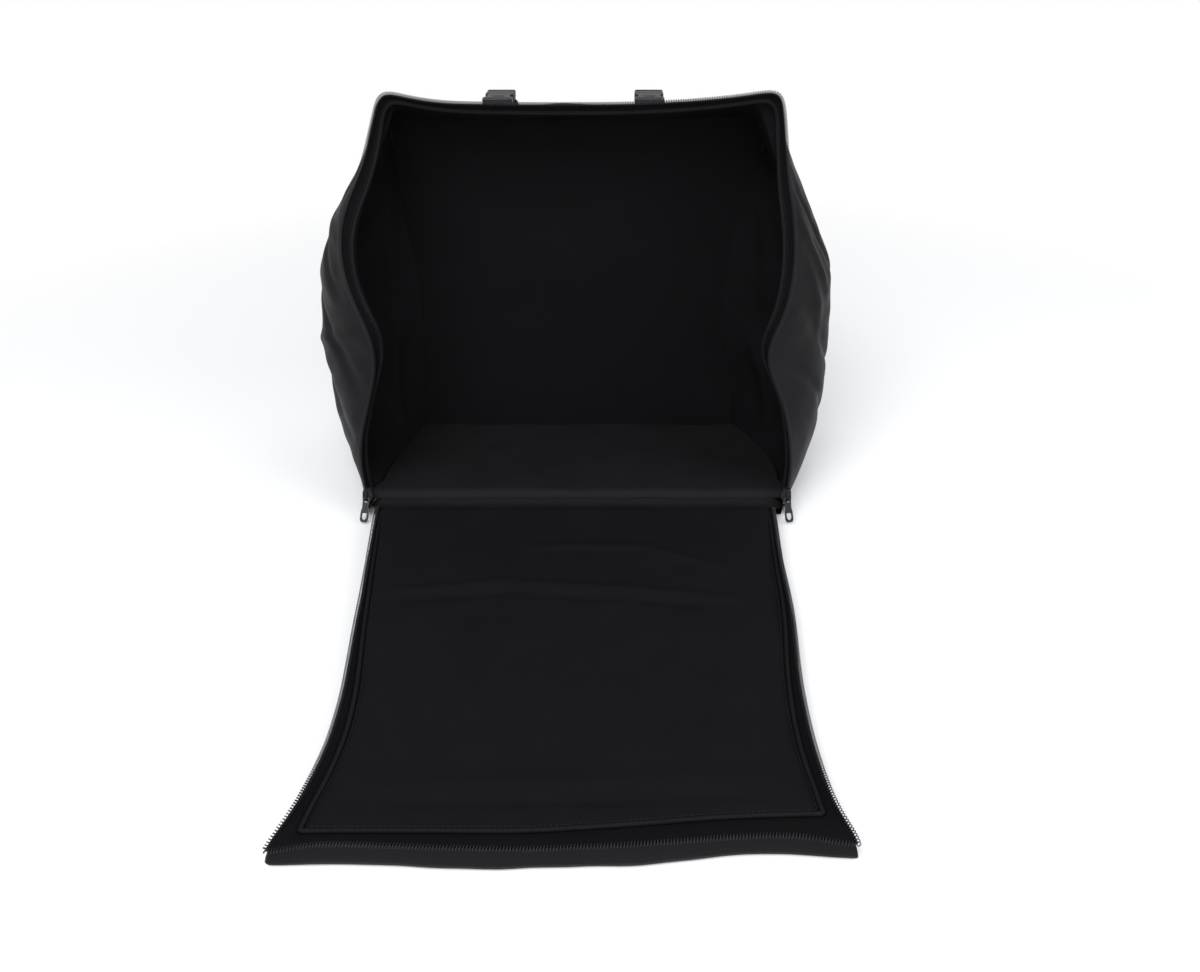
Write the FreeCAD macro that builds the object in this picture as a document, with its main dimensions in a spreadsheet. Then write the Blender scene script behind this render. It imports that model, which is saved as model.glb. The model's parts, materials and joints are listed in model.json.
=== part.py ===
"""Soft zipped accordion case, its front panel unzipped and laid forward.

Millimetres, +Z up, the mouth of the case towards -Y. The origin is on the
ground in the middle of the case's base.
"""
import FreeCAD, Part
import Sketcher
import math
import os
from FreeCAD import Matrix, Placement, Vector

os.makedirs("parts", exist_ok=True)
doc = FreeCAD.newDocument("AccordionCase")

# Driving dimensions, in millimetres and degrees
SIZES = {
    # Case body: three upright sections, at the mouth, half way and at the back
    "mouth_bottom_width": 448,
    "mouth_top_width": 386,
    "mouth_height": 430,
    "mouth_lean": 13,
    "middle_bottom_width": 430,
    "middle_top_width": 400,
    "middle_height": 415,
    "middle_lean": 7,
    "middle_bulge": 62,
    "middle_sag": 3,
    "base_depth": 196,
    "back_bottom_width": 398,
    "back_top_width": 404,
    "back_height": 396,
    "back_lean": 2,
    "back_foot": 0.4,
    # Layers of the walls
    "skin_thickness": 1.2,
    "foam_thickness": 6,
    "lining_thickness": 1,
    "layer_gap": 0.3,
    # Zip fastener round the mouth
    "tape_thickness": 1,
    "tape_reach": 6,
    "tape_start": 14,
    "coil_radius": 2.1,
    "coil_clearance": 0.4,
    "corner_radius": 16,
    "binding_radius": 1.6,
    "piping_radius": 2,
    "piping_start": 6,
    "piping_corner": 2.5,
    "stop_length": 4,
    "stop_size": 5.6,
    # Front panel, lying open on the ground
    "panel_foam": 10,
    "panel_hinge_gap": 8,
    "panel_tape_width": 9,
    "panel_hinge_tuck": 13,
    "coil_pass": 4.8,
    "closed_gap": 6.5,
    "hinge_strip_inset": 16,
    "hinge_strip_thickness": 1.2,
    # Zip sliders and their pulls
    "slider_length": 14,
    "slider_front_reach": 6.4,
    "slider_rear_reach": 2.4,
    "slider_plate": 1.3,
    "slider_bridge": 2.2,
    "slider_lift": 2,
    "bail_reach": 3.4,
    "bail_width": 3,
    "bail_length": 9,
    "bail_bar": 1.2,
    "pull_length": 28,
    "pull_width": 9,
    "pull_thickness": 1.6,
    "pull_eye_width": 4.4,
    "pull_eye_length": 4,
    "pull_window_width": 5,
    "pull_window_length": 8,
    "pull_rim": 2,
    "pull_play": 0.3,
    "pull_rest_angle": 30,
    # Webbing and its buckles on the top
    "web_width": 25,
    "web_thickness": 1.5,
    "strap_offset": 78,
    "anchor_start": 6,
    "anchor_length": 22,
    "anchor_flat_share": 0.33,
    "web_rise_share": 0.33,
    "buckle_width": 31,
    "buckle_height": 9,
    "buckle_rise": 0.8,
    "socket_length": 32,
    "socket_wall": 2,
    "window_length": 14,
    "plug_base": 18,
    "plug_tongue": 22,
    "prong_width": 5,
    "slot_length": 5,
    "bar_length": 3,
    "fit_gap": 0.4,
    # Shoulder straps on the back
    "pad_width": 62,
    "pad_thickness": 12,
    "pad_length": 210,
    "pad_round": 4,
    "pad_top_drop": 60,
    "pad_standoff": 3,
    "adjuster_width": 34,
    "adjuster_length": 26,
    "adjuster_thickness": 7,
    "adjuster_share": 0.5,
    "adjuster_window": 6,
    "tab_width": 46,
    "tab_length": 26,
    "tab_thickness": 3,
    "tab_low": 4,
    "bend_slope_share": 2,
    # Carrying handle on the back
    "handle_up": 382,
    "handle_half_width": 56,
    "handle_reach": 44,
    "handle_rise": 8,
    "handle_web": 20,
    "handle_bar": 9,
    "handle_thickness": 2.5,
    "grip_length": 70,
    "grip_radius": 7,
    "loop_length": 16,
    # How far a cutting shape runs past what it cuts
    "overrun": 2,
}

sheet = doc.addObject("Spreadsheet::Sheet", "sizes")
for row, (name, value) in enumerate(SIZES.items(), start=1):
    sheet.set("A%d" % row, name)
    sheet.set("B%d" % row, str(value))
    sheet.setAlias("B%d" % row, name)
doc.recompute()


class Sizes:
    """Reads each driving dimension from the sheet by its name."""

    def __getattr__(self, name):
        return float(getattr(sheet, name))


mm = Sizes()
finished = []


def keep(obj, label):
    """Names a finished sub-part and puts it on the list that is written out."""
    obj.Label = label
    finished.append(obj)
    return obj


def feature(label, shape, placement=None):
    """A sub-part whose shape comes from curves, with its own placement."""
    obj = doc.addObject("Part::Feature", label)
    obj.Shape = shape
    if placement is not None:
        obj.Placement = placement
    return keep(obj, label)


def frame_at(origin, x_axis, y_axis, z_axis):
    """Placement whose axes are the three given unit vectors."""
    return Placement(Matrix(
        x_axis.x, y_axis.x, z_axis.x, origin.x,
        x_axis.y, y_axis.y, z_axis.y, origin.y,
        x_axis.z, y_axis.z, z_axis.z, origin.z,
        0, 0, 0, 1))


def origin_plane(body, role):
    """The body's own origin plane with that role."""
    return next(p for p in body.Origin.OriginFeatures if p.Role == role)


def mirrored_sketch(body, name, right, loop):
    """Closed outline of straight lines, the same on both sides of its vertical axis.

    right holds (x, y) expressions of the corners on the right. loop is the order
    of the corners: 1 is the first one, and -1 is its mirror image.
    """
    sketch = body.newObject("Sketcher::SketchObject", name)
    sketch.AttachmentSupport = [(origin_plane(body, "XY_Plane"), "")]
    sketch.MapMode = "FlatFace"
    places = [(float(sheet.evalExpression(x)), float(sheet.evalExpression(y))) for x, y in right]

    def corner(number):
        x, y = places[abs(number) - 1]
        return Vector(x if number > 0 else -x, y, 0)

    count = len(loop)
    for i in range(count):
        sketch.addGeometry(Part.LineSegment(corner(loop[i]), corner(loop[(i + 1) % count])), False)
    for i in range(count):
        sketch.addConstraint(Sketcher.Constraint("Coincident", i, 2, (i + 1) % count, 1))
    for number, (x, y) in enumerate(right, start=1):
        line = loop.index(number)
        twin = loop.index(-number)
        sketch.addConstraint(Sketcher.Constraint("Symmetric", line, 1, twin, 1, -2))
        across = sketch.addConstraint(
            Sketcher.Constraint("DistanceX", -1, 1, line, 1, places[number - 1][0]))
        sketch.setExpression("Constraints[%d]" % across, x)
        if abs(places[number - 1][1]) < 1e-9:
            sketch.addConstraint(Sketcher.Constraint("PointOnObject", line, 1, -1))
        else:
            up = sketch.addConstraint(
                Sketcher.Constraint("DistanceY", -1, 1, line, 1, places[number - 1][1]))
            sketch.setExpression("Constraints[%d]" % up, y)
    return sketch


def pad(body, sketch, name, length):
    """Pads a sketch by the length that an expression gives."""
    solid = body.newObject("PartDesign::Pad", name)
    solid.Profile = sketch
    solid.setExpression("Length", length)
    body.Tip = solid
    return solid


def box(name, length, width, height, at=()):
    """Box with its three sizes, and its low corner where one is given, as expressions."""
    obj = doc.addObject("Part::Box", name)
    for key, rule in zip(("Length", "Width", "Height"), (length, width, height)):
        obj.setExpression(key, rule)
    for key, rule in zip("xyz", at):
        obj.setExpression("Placement.Base." + key, rule)
    return obj


def rod(name, radius, length, at, along):
    """Cylinder that starts at a point and runs along a unit vector."""
    obj = doc.addObject("Part::Cylinder", name)
    obj.setExpression("Radius", radius)
    obj.setExpression("Height", length)
    obj.Placement.Rotation = FreeCAD.Rotation(Vector(0, 0, 1), along)
    for key, rule in zip("xyz", at):
        obj.setExpression("Placement.Base." + key, rule)
    return obj


def cut(name, base, tools):
    """Takes each tool out of the base in turn."""
    for number, tool in enumerate(tools):
        step = doc.addObject("Part::Cut", "%s_cut_%d" % (name, number))
        step.Base = base
        step.Tool = tool
        base = step
    return base


def fuse(name, shapes):
    """Joins the shapes into one solid."""
    obj = doc.addObject("Part::MultiFuse", name)
    obj.Shapes = shapes
    obj.Refine = True
    return obj


# Case body: nested layers lofted through the three sections


class Section:
    """One upright section of the case: a trapezium with arched sides and a sagging top."""

    def __init__(self, offset, lean, height, bottom, top, bulge, sag):
        self.offset = offset
        self.lean = math.radians(lean)
        self.height = height
        self.bottom = bottom / 2
        self.top = top / 2
        self.bulge = bulge
        self.sag = sag

    def point(self, x, up, out=0.0):
        """A point of the section's plane, or out in front of it."""
        return Vector(
            x,
            self.offset + up * math.sin(self.lean) - out * math.cos(self.lean),
            up * math.cos(self.lean) + out * math.sin(self.lean))

    def side_x(self, up, inset):
        """Half-width at a height, with the side moved in by inset."""
        taper = (self.top - self.bottom) / self.height
        return self.bottom + taper * up - inset * math.hypot(1, taper)

    def low(self, inset):
        """Height of the bottom corner of the outline moved in by inset."""
        return inset / math.cos(self.lean)

    def high(self, inset):
        """Height of the top corner of the outline moved in by inset."""
        return self.height - inset

    def corner(self, side, top, inset):
        """Corner of the outline: side is 1 for right and -1 for left."""
        up = self.high(inset) if top else self.low(inset)
        return self.point(side * self.side_x(up, inset), up)

    def side_edge(self, side, inset):
        """Side of the outline, from bottom to top."""
        up = (self.low(inset) + self.high(inset)) / 2
        crown = self.point(side * (self.side_x(up, inset) + self.bulge), up)
        return arched(self.corner(side, False, inset), crown, self.corner(side, True, inset), self.bulge)

    def level_ends(self, top, inset):
        """Left and right end of the top or bottom, clear of the sides' own corners."""
        return [self.corner(side, top, inset) - Vector(side * mm.layer_gap, 0, 0) for side in (-1, 1)]

    def top_edge(self, inset):
        """Top of the outline, from left to right."""
        dip = self.point(0, self.high(inset) - self.sag)
        left, right = self.level_ends(True, inset)
        return arched(left, dip, right, self.sag)


def arched(start, crown, end, rise):
    """Arc through three points, or the straight line where there is no rise."""
    if rise == 0:
        return Part.makeLine(start, end)
    return Part.Arc(start, crown, end).toShape()


MOUTH = Section(-mm.base_depth / 2, mm.mouth_lean, mm.mouth_height, mm.mouth_bottom_width,
                mm.mouth_top_width, 0, 0)
MIDDLE = Section(0, mm.middle_lean, mm.middle_height, mm.middle_bottom_width,
                 mm.middle_top_width, mm.middle_bulge, mm.middle_sag)
BACK = Section(mm.base_depth / 2, mm.back_lean, mm.back_height, mm.back_bottom_width,
               mm.back_top_width, 0, 0)
SECTIONS = (MOUTH, MIDDLE, BACK)


def ring(edge_out, edge_in):
    """Closed wire from an outer edge and an inner edge that run the same way."""
    first, second = edge_out.Vertexes[0].Point, edge_out.Vertexes[-1].Point
    inner_first, inner_second = edge_in.Vertexes[0].Point, edge_in.Vertexes[-1].Point
    return Part.Wire([edge_out, Part.makeLine(second, inner_second), edge_in,
                      Part.makeLine(inner_first, first)])


def layer(label, edge, outer, inner):
    """One layer of one wall: lofted from the mouth to the back between two insets."""
    rings = [ring(edge(section, outer), edge(section, inner)) for section in SECTIONS]
    return feature(label, Part.makeLoft(rings, True, False))


def base_layer(label, outer, inner):
    """One flat layer of the base, its outline straight from one section to the next."""
    left, right = zip(*(section.level_ends(False, inner) for section in SECTIONS))
    outline = Part.makePolygon([*left, *reversed(right), left[0]])
    return feature(label, Part.Face(outline).extrude(Vector(0, 0, outer - inner)))


foam_inset = mm.skin_thickness + mm.layer_gap
lining_inset = foam_inset + mm.foam_thickness + mm.layer_gap
wall_thickness = lining_inset + mm.lining_thickness
LAYERS = {
    "outer": (0, mm.skin_thickness),
    "foam": (foam_inset, foam_inset + mm.foam_thickness),
    "lining": (lining_inset, wall_thickness),
}
for layer_name, (outer_inset, inner_inset) in LAYERS.items():
    layer("left_side_" + layer_name, lambda s, i: s.side_edge(-1, i), outer_inset, inner_inset)
    layer("right_side_" + layer_name, lambda s, i: s.side_edge(1, i), outer_inset, inner_inset)
    layer("top_" + layer_name, lambda s, i: s.top_edge(i), outer_inset, inner_inset)
    base_name = "base_board" if layer_name == "foam" else "base_" + layer_name
    base_layer(base_name, outer_inset, inner_inset)


def section_frame(section, out):
    """Placement of a flat piece: x across, y up the section and z out of the mouth side."""
    return frame_at(
        section.point(0, 0, out),
        Vector(1, 0, 0),
        Vector(0, math.sin(section.lean), math.cos(section.lean)),
        Vector(0, -math.cos(section.lean), math.sin(section.lean)))


def back_plate(label, thickness, depth):
    """One layer of the back: the outline of the back section, some way behind it."""
    body = doc.addObject("PartDesign::Body", label)
    right = [("sizes.back_bottom_width / 2", "sizes.back_foot"),
             ("sizes.back_top_width / 2", "sizes.back_height")]
    sketch = mirrored_sketch(body, label + "_outline", right, [1, 2, -2, -1])
    pad(body, sketch, label + "_pad", thickness)
    body.Placement = section_frame(BACK, -depth)
    return keep(body, label)


back_lining_depth = mm.layer_gap + mm.lining_thickness
back_foam_depth = back_lining_depth + mm.layer_gap + mm.foam_thickness
back_skin_depth = back_foam_depth + mm.layer_gap + mm.skin_thickness
back_plate("back_lining", "sizes.lining_thickness", back_lining_depth)
back_plate("back_foam", "sizes.foam_thickness", back_foam_depth)
back_plate("back_outer", "sizes.skin_thickness", back_skin_depth)

# Piping, binding and zip coils: round cords that follow a three-sided path


def rounded_path(points, radius):
    """Wire through the points with an arc of that radius at each inner corner."""
    edges = []
    start = points[0]
    for before, here, after in zip(points, points[1:], points[2:]):
        come = (here - before).normalize()
        leave = (after - here).normalize()
        half_turn = come.getAngle(leave) / 2
        reach = radius * math.tan(half_turn)
        bisector = (leave - come).normalize()
        crown = here + bisector * (radius / math.cos(half_turn) - radius)
        first, last = here - come * reach, here + leave * reach
        edges += [Part.makeLine(start, first), Part.Arc(first, crown, last).toShape()]
        start = last
    edges.append(Part.makeLine(start, points[-1]))
    return Part.Wire(edges)


def cord(path, radius):
    """Solid round cord along a wire."""
    start = path.Edges[0]
    direction = start.tangentAt(start.FirstParameter)
    circle = Part.Wire([Part.makeCircle(radius, start.valueAt(start.FirstParameter), direction)])
    return path.makePipeShell([circle], True, True)


def u_path(section, start, inset, out, radius):
    """Three-sided path up the left, over the top and down the right of a section."""
    top = section.high(inset)
    points = [section.point(side * section.side_x(up, inset), up, out)
              for side, up in ((-1, start), (-1, top), (1, top), (1, start))]
    return rounded_path(points, radius)


tape_middle = mm.layer_gap + mm.tape_thickness / 2
binding_inset = wall_thickness + mm.layer_gap + mm.binding_radius
feature("mouth_binding", cord(
    u_path(MOUTH, mm.tape_start, binding_inset, tape_middle, mm.corner_radius), mm.binding_radius))
coil_inset = -(mm.tape_reach + mm.layer_gap / 2)
coil_path = u_path(MOUTH, mm.tape_start, coil_inset - mm.coil_radius, tape_middle, mm.corner_radius)
feature("case_zip_coil", cord(coil_path, mm.coil_radius))
piping_inset = -(mm.piping_radius + mm.layer_gap)
feature("back_piping", cord(
    u_path(BACK, mm.piping_start, piping_inset, -back_skin_depth / 2, mm.piping_corner),
    mm.piping_radius))


tape_corner = mm.corner_radius - mm.coil_radius - mm.layer_gap / 2


def u_tape(label, corners, placement):
    """Flat three-sided tape: corners are its right half, up the outside and down the inside."""
    right = [Vector(x, y, 0) for x, y in corners]
    left = [Vector(-x, y, 0) for x, y in corners]
    outside = rounded_path([right[0], right[1], left[1], left[0]], tape_corner)
    inside = Part.makePolygon([left[0], left[3], left[2], right[2], right[3], right[0]])
    wire = Part.Wire(outside.Edges + inside.Edges)
    return feature(label, Part.Face(wire).extrude(Vector(0, 0, mm.tape_thickness)), placement)


def tape_corners(start, outer, inner):
    """Right half of the mouth's tape between two insets of the mouth's outline."""
    places = ((start, outer), (MOUTH.high(outer), outer), (MOUTH.high(inner), inner), (start, inner))
    return [(MOUTH.side_x(up, inset), up) for up, inset in places]


tape_inner_inset = wall_thickness
u_tape("case_zip_tape", tape_corners(mm.tape_start, -mm.tape_reach, tape_inner_inset),
       section_frame(MOUTH, mm.layer_gap))

# Front panel, flat on the ground, its lining up and its free end away from the case

panel_thickness = mm.skin_thickness + mm.panel_foam + mm.lining_thickness + 2 * mm.layer_gap
pivot_height = panel_thickness / 2
pivot_out = mm.closed_gap + panel_thickness - pivot_height
pivot_up = (pivot_height - pivot_out * math.sin(MOUTH.lean)) / math.cos(MOUTH.lean)
pivot = MOUTH.point(0, pivot_up, pivot_out)
panel_edge_y = pivot.y - mm.panel_hinge_gap
closed_foot = pivot_up + mm.panel_hinge_gap
strip_z = pivot_height - mm.hinge_strip_thickness / 2
strip_end_y = MOUTH.offset + strip_z * math.tan(MOUTH.lean)

# Closed, the panel's coil lies just inside the coil of the mouth
coil_spacing = 2 * mm.coil_radius + mm.coil_pass
panel_coil_top = MOUTH.high(coil_inset - mm.coil_radius) - coil_spacing
panel_length = panel_coil_top - mm.coil_radius - mm.panel_tape_width - closed_foot
hinge_coil_x = MOUTH.side_x(closed_foot, coil_inset) - mm.panel_hinge_tuck
free_coil_x = MOUTH.side_x(panel_coil_top, coil_inset - mm.coil_radius) - coil_spacing
coil_to_panel = mm.coil_radius + mm.panel_tape_width
sheet_extra = {
    "hinge_strip_depth": strip_end_y - panel_edge_y - 2 * mm.layer_gap,
    "panel_length": panel_length,
    "panel_hinge_half_width": hinge_coil_x - coil_to_panel,
    "panel_free_half_width": free_coil_x - coil_to_panel,
}
for offset, (name, value) in enumerate(sheet_extra.items(), start=len(SIZES) + 1):
    sheet.set("A%d" % offset, name)
    sheet.set("B%d" % offset, str(value))
    sheet.setAlias("B%d" % offset, name)
doc.recompute()


def panel_frame(z):
    """Placement of a layer of the front panel: y runs from its hinge edge to its free end."""
    return frame_at(Vector(0, panel_edge_y, z), Vector(-1, 0, 0), Vector(0, -1, 0), Vector(0, 0, 1))


def panel_corners(inset):
    """Expressions of the panel's two right corners, moved in by an inset expression."""
    return [("sizes.panel_hinge_half_width - " + inset, inset),
            ("sizes.panel_free_half_width - " + inset, "sizes.panel_length - " + inset)]


def panel_layer(label, z, thickness, inset):
    """One flat layer of the front panel."""
    body = doc.addObject("PartDesign::Body", label)
    sketch = mirrored_sketch(body, label + "_outline", panel_corners(inset), [1, 2, -2, -1])
    pad(body, sketch, label + "_pad", thickness)
    body.Placement = panel_frame(z)
    return body


skin_inset = "(sizes.skin_thickness + sizes.layer_gap)"
tray = panel_layer("panel_outer", 0, "sizes.panel_foam + sizes.skin_thickness + sizes.layer_gap", "0")
hollow = mirrored_sketch(tray, "panel_outer_hollow", panel_corners("sizes.skin_thickness"), [1, 2, -2, -1])
hollow.AttachmentOffset.Base = Vector(0, 0, mm.skin_thickness)
hollow.setExpression("AttachmentOffset.Base.z", "sizes.skin_thickness")
doc.recompute()
solid_volume = tray.Shape.Volume
pocket = tray.newObject("PartDesign::Pocket", "panel_outer_pocket")
pocket.Profile = hollow
pocket.Reversed = True
pocket.setExpression("Length", "sizes.panel_foam + sizes.overrun")
tray.Tip = pocket
doc.recompute()
if tray.Shape.Volume > solid_volume / 2:
    raise RuntimeError("the hollow of the front panel's skin was not cut")
keep(tray, "panel_outer")
keep(panel_layer("panel_foam", mm.skin_thickness + mm.layer_gap / 2,
                 "sizes.panel_foam - sizes.layer_gap", skin_inset), "panel_foam")
lining_z = panel_thickness - mm.lining_thickness
keep(panel_layer("panel_lining", lining_z, "sizes.lining_thickness", "0"), "panel_lining")


def panel_x(along):
    """Half-width of the panel at a distance from its hinge edge."""
    share = along / panel_length
    return mm.panel_hinge_half_width * (1 - share) + mm.panel_free_half_width * share


def panel_band(start, reach):
    """Right corner points of a line that runs outside the panel's edge at a reach."""
    return [(panel_x(start) + reach, start), (mm.panel_free_half_width + reach, panel_length + reach)]


tape_near = mm.layer_gap
tape_far = tape_near + mm.panel_tape_width
panel_start = mm.panel_hinge_gap
band = panel_band(panel_start, tape_far) + panel_band(panel_start, tape_near)[::-1]
u_tape("panel_zip_tape", band, panel_frame(lining_z))


def panel_cord(label, reach, height, radius):
    """Round cord along three sides of the panel, at a reach from its edge."""
    (x_start, start), (x_end, end) = panel_band(panel_start, reach)
    points = [Vector(side * x, panel_edge_y - along, height)
              for side, x, along in ((-1, x_start, start), (-1, x_end, end), (1, x_end, end), (1, x_start, start))]
    return feature(label, cord(rounded_path(points, mm.corner_radius), radius))


tape_level = lining_z + mm.tape_thickness / 2
panel_cord("panel_zip_coil", tape_far + mm.layer_gap / 2 + mm.coil_radius, tape_level, mm.coil_radius)
panel_cord("panel_binding", -mm.binding_radius, panel_thickness + mm.layer_gap + mm.binding_radius,
           mm.binding_radius)

# Fabric hinge between the foot of the mouth and the panel
strip = box("hinge_strip_sheet", "sizes.mouth_bottom_width - 2 * sizes.hinge_strip_inset",
            "sizes.hinge_strip_depth", "sizes.hinge_strip_thickness")
strip.Placement.Base = Vector(
    mm.hinge_strip_inset - mm.mouth_bottom_width / 2, panel_edge_y + mm.layer_gap, strip_z)
keep(strip, "hinge_strip")

# Zip sliders and pulls: x across the mouth, y into the case and z up the zip

coil_line_inset = coil_inset - mm.coil_radius
coil_taper = (MOUTH.top - MOUTH.bottom) / MOUTH.height


def zip_frame(side, along, forward=0.0):
    """Origin and three axes on the coil of one side, some way up the zip."""
    foot = MOUTH.point(side * MOUTH.side_x(mm.tape_start, coil_line_inset), mm.tape_start, tape_middle)
    up = (MOUTH.point(side * coil_taper, 1) - MOUTH.point(0, 0)).normalize()
    inward = (MOUTH.point(0, 0) - MOUTH.point(0, 0, 1)).normalize()
    across = inward.cross(up)
    return foot + up * along - inward * forward, across, inward, up


def side_span(side, low, width):
    """Low end, as an expression, of a span measured outwards from the coil."""
    return low if side > 0 else "-(%s) - (%s)" % (low, width)


coil_straight = ((MOUTH.high(coil_line_inset) - mm.tape_start) * math.hypot(1, coil_taper)
                 - mm.corner_radius)
slider_rest = mm.slider_length / 2 + mm.layer_gap + mm.slider_lift
slider_travel = coil_straight - slider_rest - mm.slider_length / 2
channel_half = "(sizes.coil_radius + sizes.coil_clearance)"
plate_face = mm.coil_radius + mm.coil_clearance + mm.slider_plate
bail_foot = "(-%s - sizes.slider_plate - sizes.bail_reach)" % channel_half
pull_forward = plate_face + mm.pull_play + mm.pull_thickness / 2
pull_drop = mm.bail_length / 2 - mm.bail_bar - mm.pull_play - mm.pull_thickness / 2
SIDES = (("left", -1), ("right", 1))


def slider(side_name, side):
    """Two plates joined by an outer wall, with a bail on the front plate for the pull."""
    name = side_name + "_zip_slider"
    outer = "(%s + sizes.slider_bridge)" % channel_half
    half = "-sizes.slider_length / 2"

    def part(tag, low, width, y, thickness):
        return box("%s_%s" % (name, tag), width, thickness, "sizes.slider_length",
                   (side_span(side, low, width), y, half))

    front = part("front", "-sizes.slider_front_reach", "sizes.slider_front_reach + " + outer,
                 "-%s - sizes.slider_plate" % channel_half, "sizes.slider_plate")
    rear = part("rear", "-sizes.slider_rear_reach", "sizes.slider_rear_reach + " + outer,
                channel_half, "sizes.slider_plate")
    wall = part("wall", channel_half, "sizes.slider_bridge", "-" + channel_half, "2 * " + channel_half)
    bail = box(name + "_bail", "sizes.bail_width", "sizes.bail_reach", "sizes.bail_length",
               ("-sizes.bail_width / 2", bail_foot, "-sizes.bail_length / 2"))
    window = box(name + "_bail_window", "sizes.bail_width + 2 * sizes.overrun",
                 "sizes.bail_reach - sizes.bail_bar", "sizes.bail_length - 2 * sizes.bail_bar",
                 ("-sizes.bail_width / 2 - sizes.overrun", bail_foot + " + sizes.bail_bar",
                  "-sizes.bail_length / 2 + sizes.bail_bar"))
    solid = fuse(name, [front, rear, wall, cut(name + "_bail", bail, [window])])
    origin, across, inward, up = zip_frame(side, slider_rest)
    solid.Placement = frame_at(origin, across, inward, up)
    return keep(solid, name)


def pull(side_name, side):
    """Flat tab with a round bar under the bail, an eye below it and a window at its tip."""
    name = side_name + "_zip_pull"
    half = "sizes.pull_thickness / 2"
    plate = box(name + "_plate", "sizes.pull_width", "sizes.pull_thickness",
                "sizes.pull_length", ("-sizes.pull_width / 2", "-" + half, "-sizes.pull_length"))
    bar = rod(name + "_bar", half, "sizes.pull_width", ("-sizes.pull_width / 2", "0", "0"), Vector(1, 0, 0))
    eye = box(name + "_eye", "sizes.pull_eye_width", "sizes.pull_thickness + 2 * sizes.overrun",
              "sizes.pull_eye_length",
              ("-sizes.pull_eye_width / 2", "-%s - sizes.overrun" % half,
               "-%s - sizes.pull_eye_length" % half))
    tip = box(name + "_window", "sizes.pull_window_width", "sizes.pull_thickness + 2 * sizes.overrun",
              "sizes.pull_window_length",
              ("-sizes.pull_window_width / 2", "-%s - sizes.overrun" % half,
               "sizes.pull_rim - sizes.pull_length"))
    solid = fuse(name, [cut(name, plate, [eye, tip]), bar])
    origin, across, inward, up = zip_frame(side, slider_rest - pull_drop, pull_forward)
    swing = math.radians(mm.pull_rest_angle)
    turned_up = up * math.cos(swing) + inward * math.sin(swing)
    turned_in = inward * math.cos(swing) - up * math.sin(swing)
    solid.Placement = frame_at(origin, across, turned_in, turned_up)
    return keep(solid, name)


for side_name, side in SIDES:
    slider(side_name, side)
    pull(side_name, side)

stops = []
for side_name, side in SIDES:
    stop = box("zip_stop_" + side_name, "sizes.stop_size", "sizes.stop_size", "sizes.stop_length")
    origin, across, inward, up = zip_frame(side, -mm.stop_length - mm.layer_gap)
    stop.Placement = frame_at(origin - (across + inward) * (mm.stop_size / 2), across, inward, up)
    stops.append(stop)
stop_pair = doc.addObject("Part::Compound", "zip_stops")
stop_pair.Links = stops
keep(stop_pair, "zip_stops")

# Webbing: flat bands that follow a line in an upright plane


def band_shape(points, x_middle, width, thickness):
    """Band of that width, centred on a line of points in a plane square to X."""
    half = thickness / 2
    upper, lower = [], []
    for i, here in enumerate(points):
        before = points[max(i - 1, 0)]
        after = points[min(i + 1, len(points) - 1)]
        come = (here - before).normalize() if i > 0 else (after - here).normalize()
        leave = (after - here).normalize() if i < len(points) - 1 else come
        along = (come + leave).normalize()
        reach = half / along.dot(come)
        normal = Vector(0, -along.z, along.y)
        upper.append(here + normal * reach)
        lower.append(here - normal * reach)
    outline = upper + lower[::-1]
    shifted = [Vector(x_middle - width / 2, p.y, p.z) for p in outline + outline[:1]]
    return Part.Face(Part.makePolygon(shifted)).extrude(Vector(width, 0, 0))


top_y = MOUTH.point(0, MOUTH.height).y
top_z = MOUTH.point(0, MOUTH.height).z
web_half = mm.web_thickness / 2
anchor_y = top_y + mm.anchor_start
buckle_y = anchor_y + mm.anchor_length + mm.fit_gap
plug_y = buckle_y + mm.socket_length + mm.fit_gap
plug_end_y = plug_y + mm.plug_base
top_skin = next(obj for obj in finished if obj.Label == "top_outer").Shape


def skin_height(y):
    """Height of the top's outer skin under a strap, at a distance along Y."""
    upright = Part.makeLine(Vector(mm.strap_offset, y, 0), Vector(mm.strap_offset, y, 2 * top_z))
    return top_skin.common(upright).BoundBox.ZMax


buckle_z = max(skin_height(y) for y in (buckle_y, plug_y, plug_end_y)) + mm.buckle_rise
web_z = buckle_z + mm.buckle_height / 2
back_top = BACK.point(0, BACK.height, -back_skin_depth)
pad_depth = back_skin_depth + mm.pad_standoff
pad_high = mm.back_height - mm.pad_top_drop
pad_low = pad_high - mm.pad_length
web_depth = pad_depth + mm.pad_thickness / 2
tab_depth = back_skin_depth + mm.layer_gap
seat_depth = tab_depth + mm.tab_thickness + mm.layer_gap + web_half
tab_high = mm.tab_low + mm.tab_length
bend_high = tab_high + mm.bend_slope_share * (web_depth - seat_depth)
adjuster_high = pad_low - mm.adjuster_share * (pad_low - bend_high - mm.adjuster_length)


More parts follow.
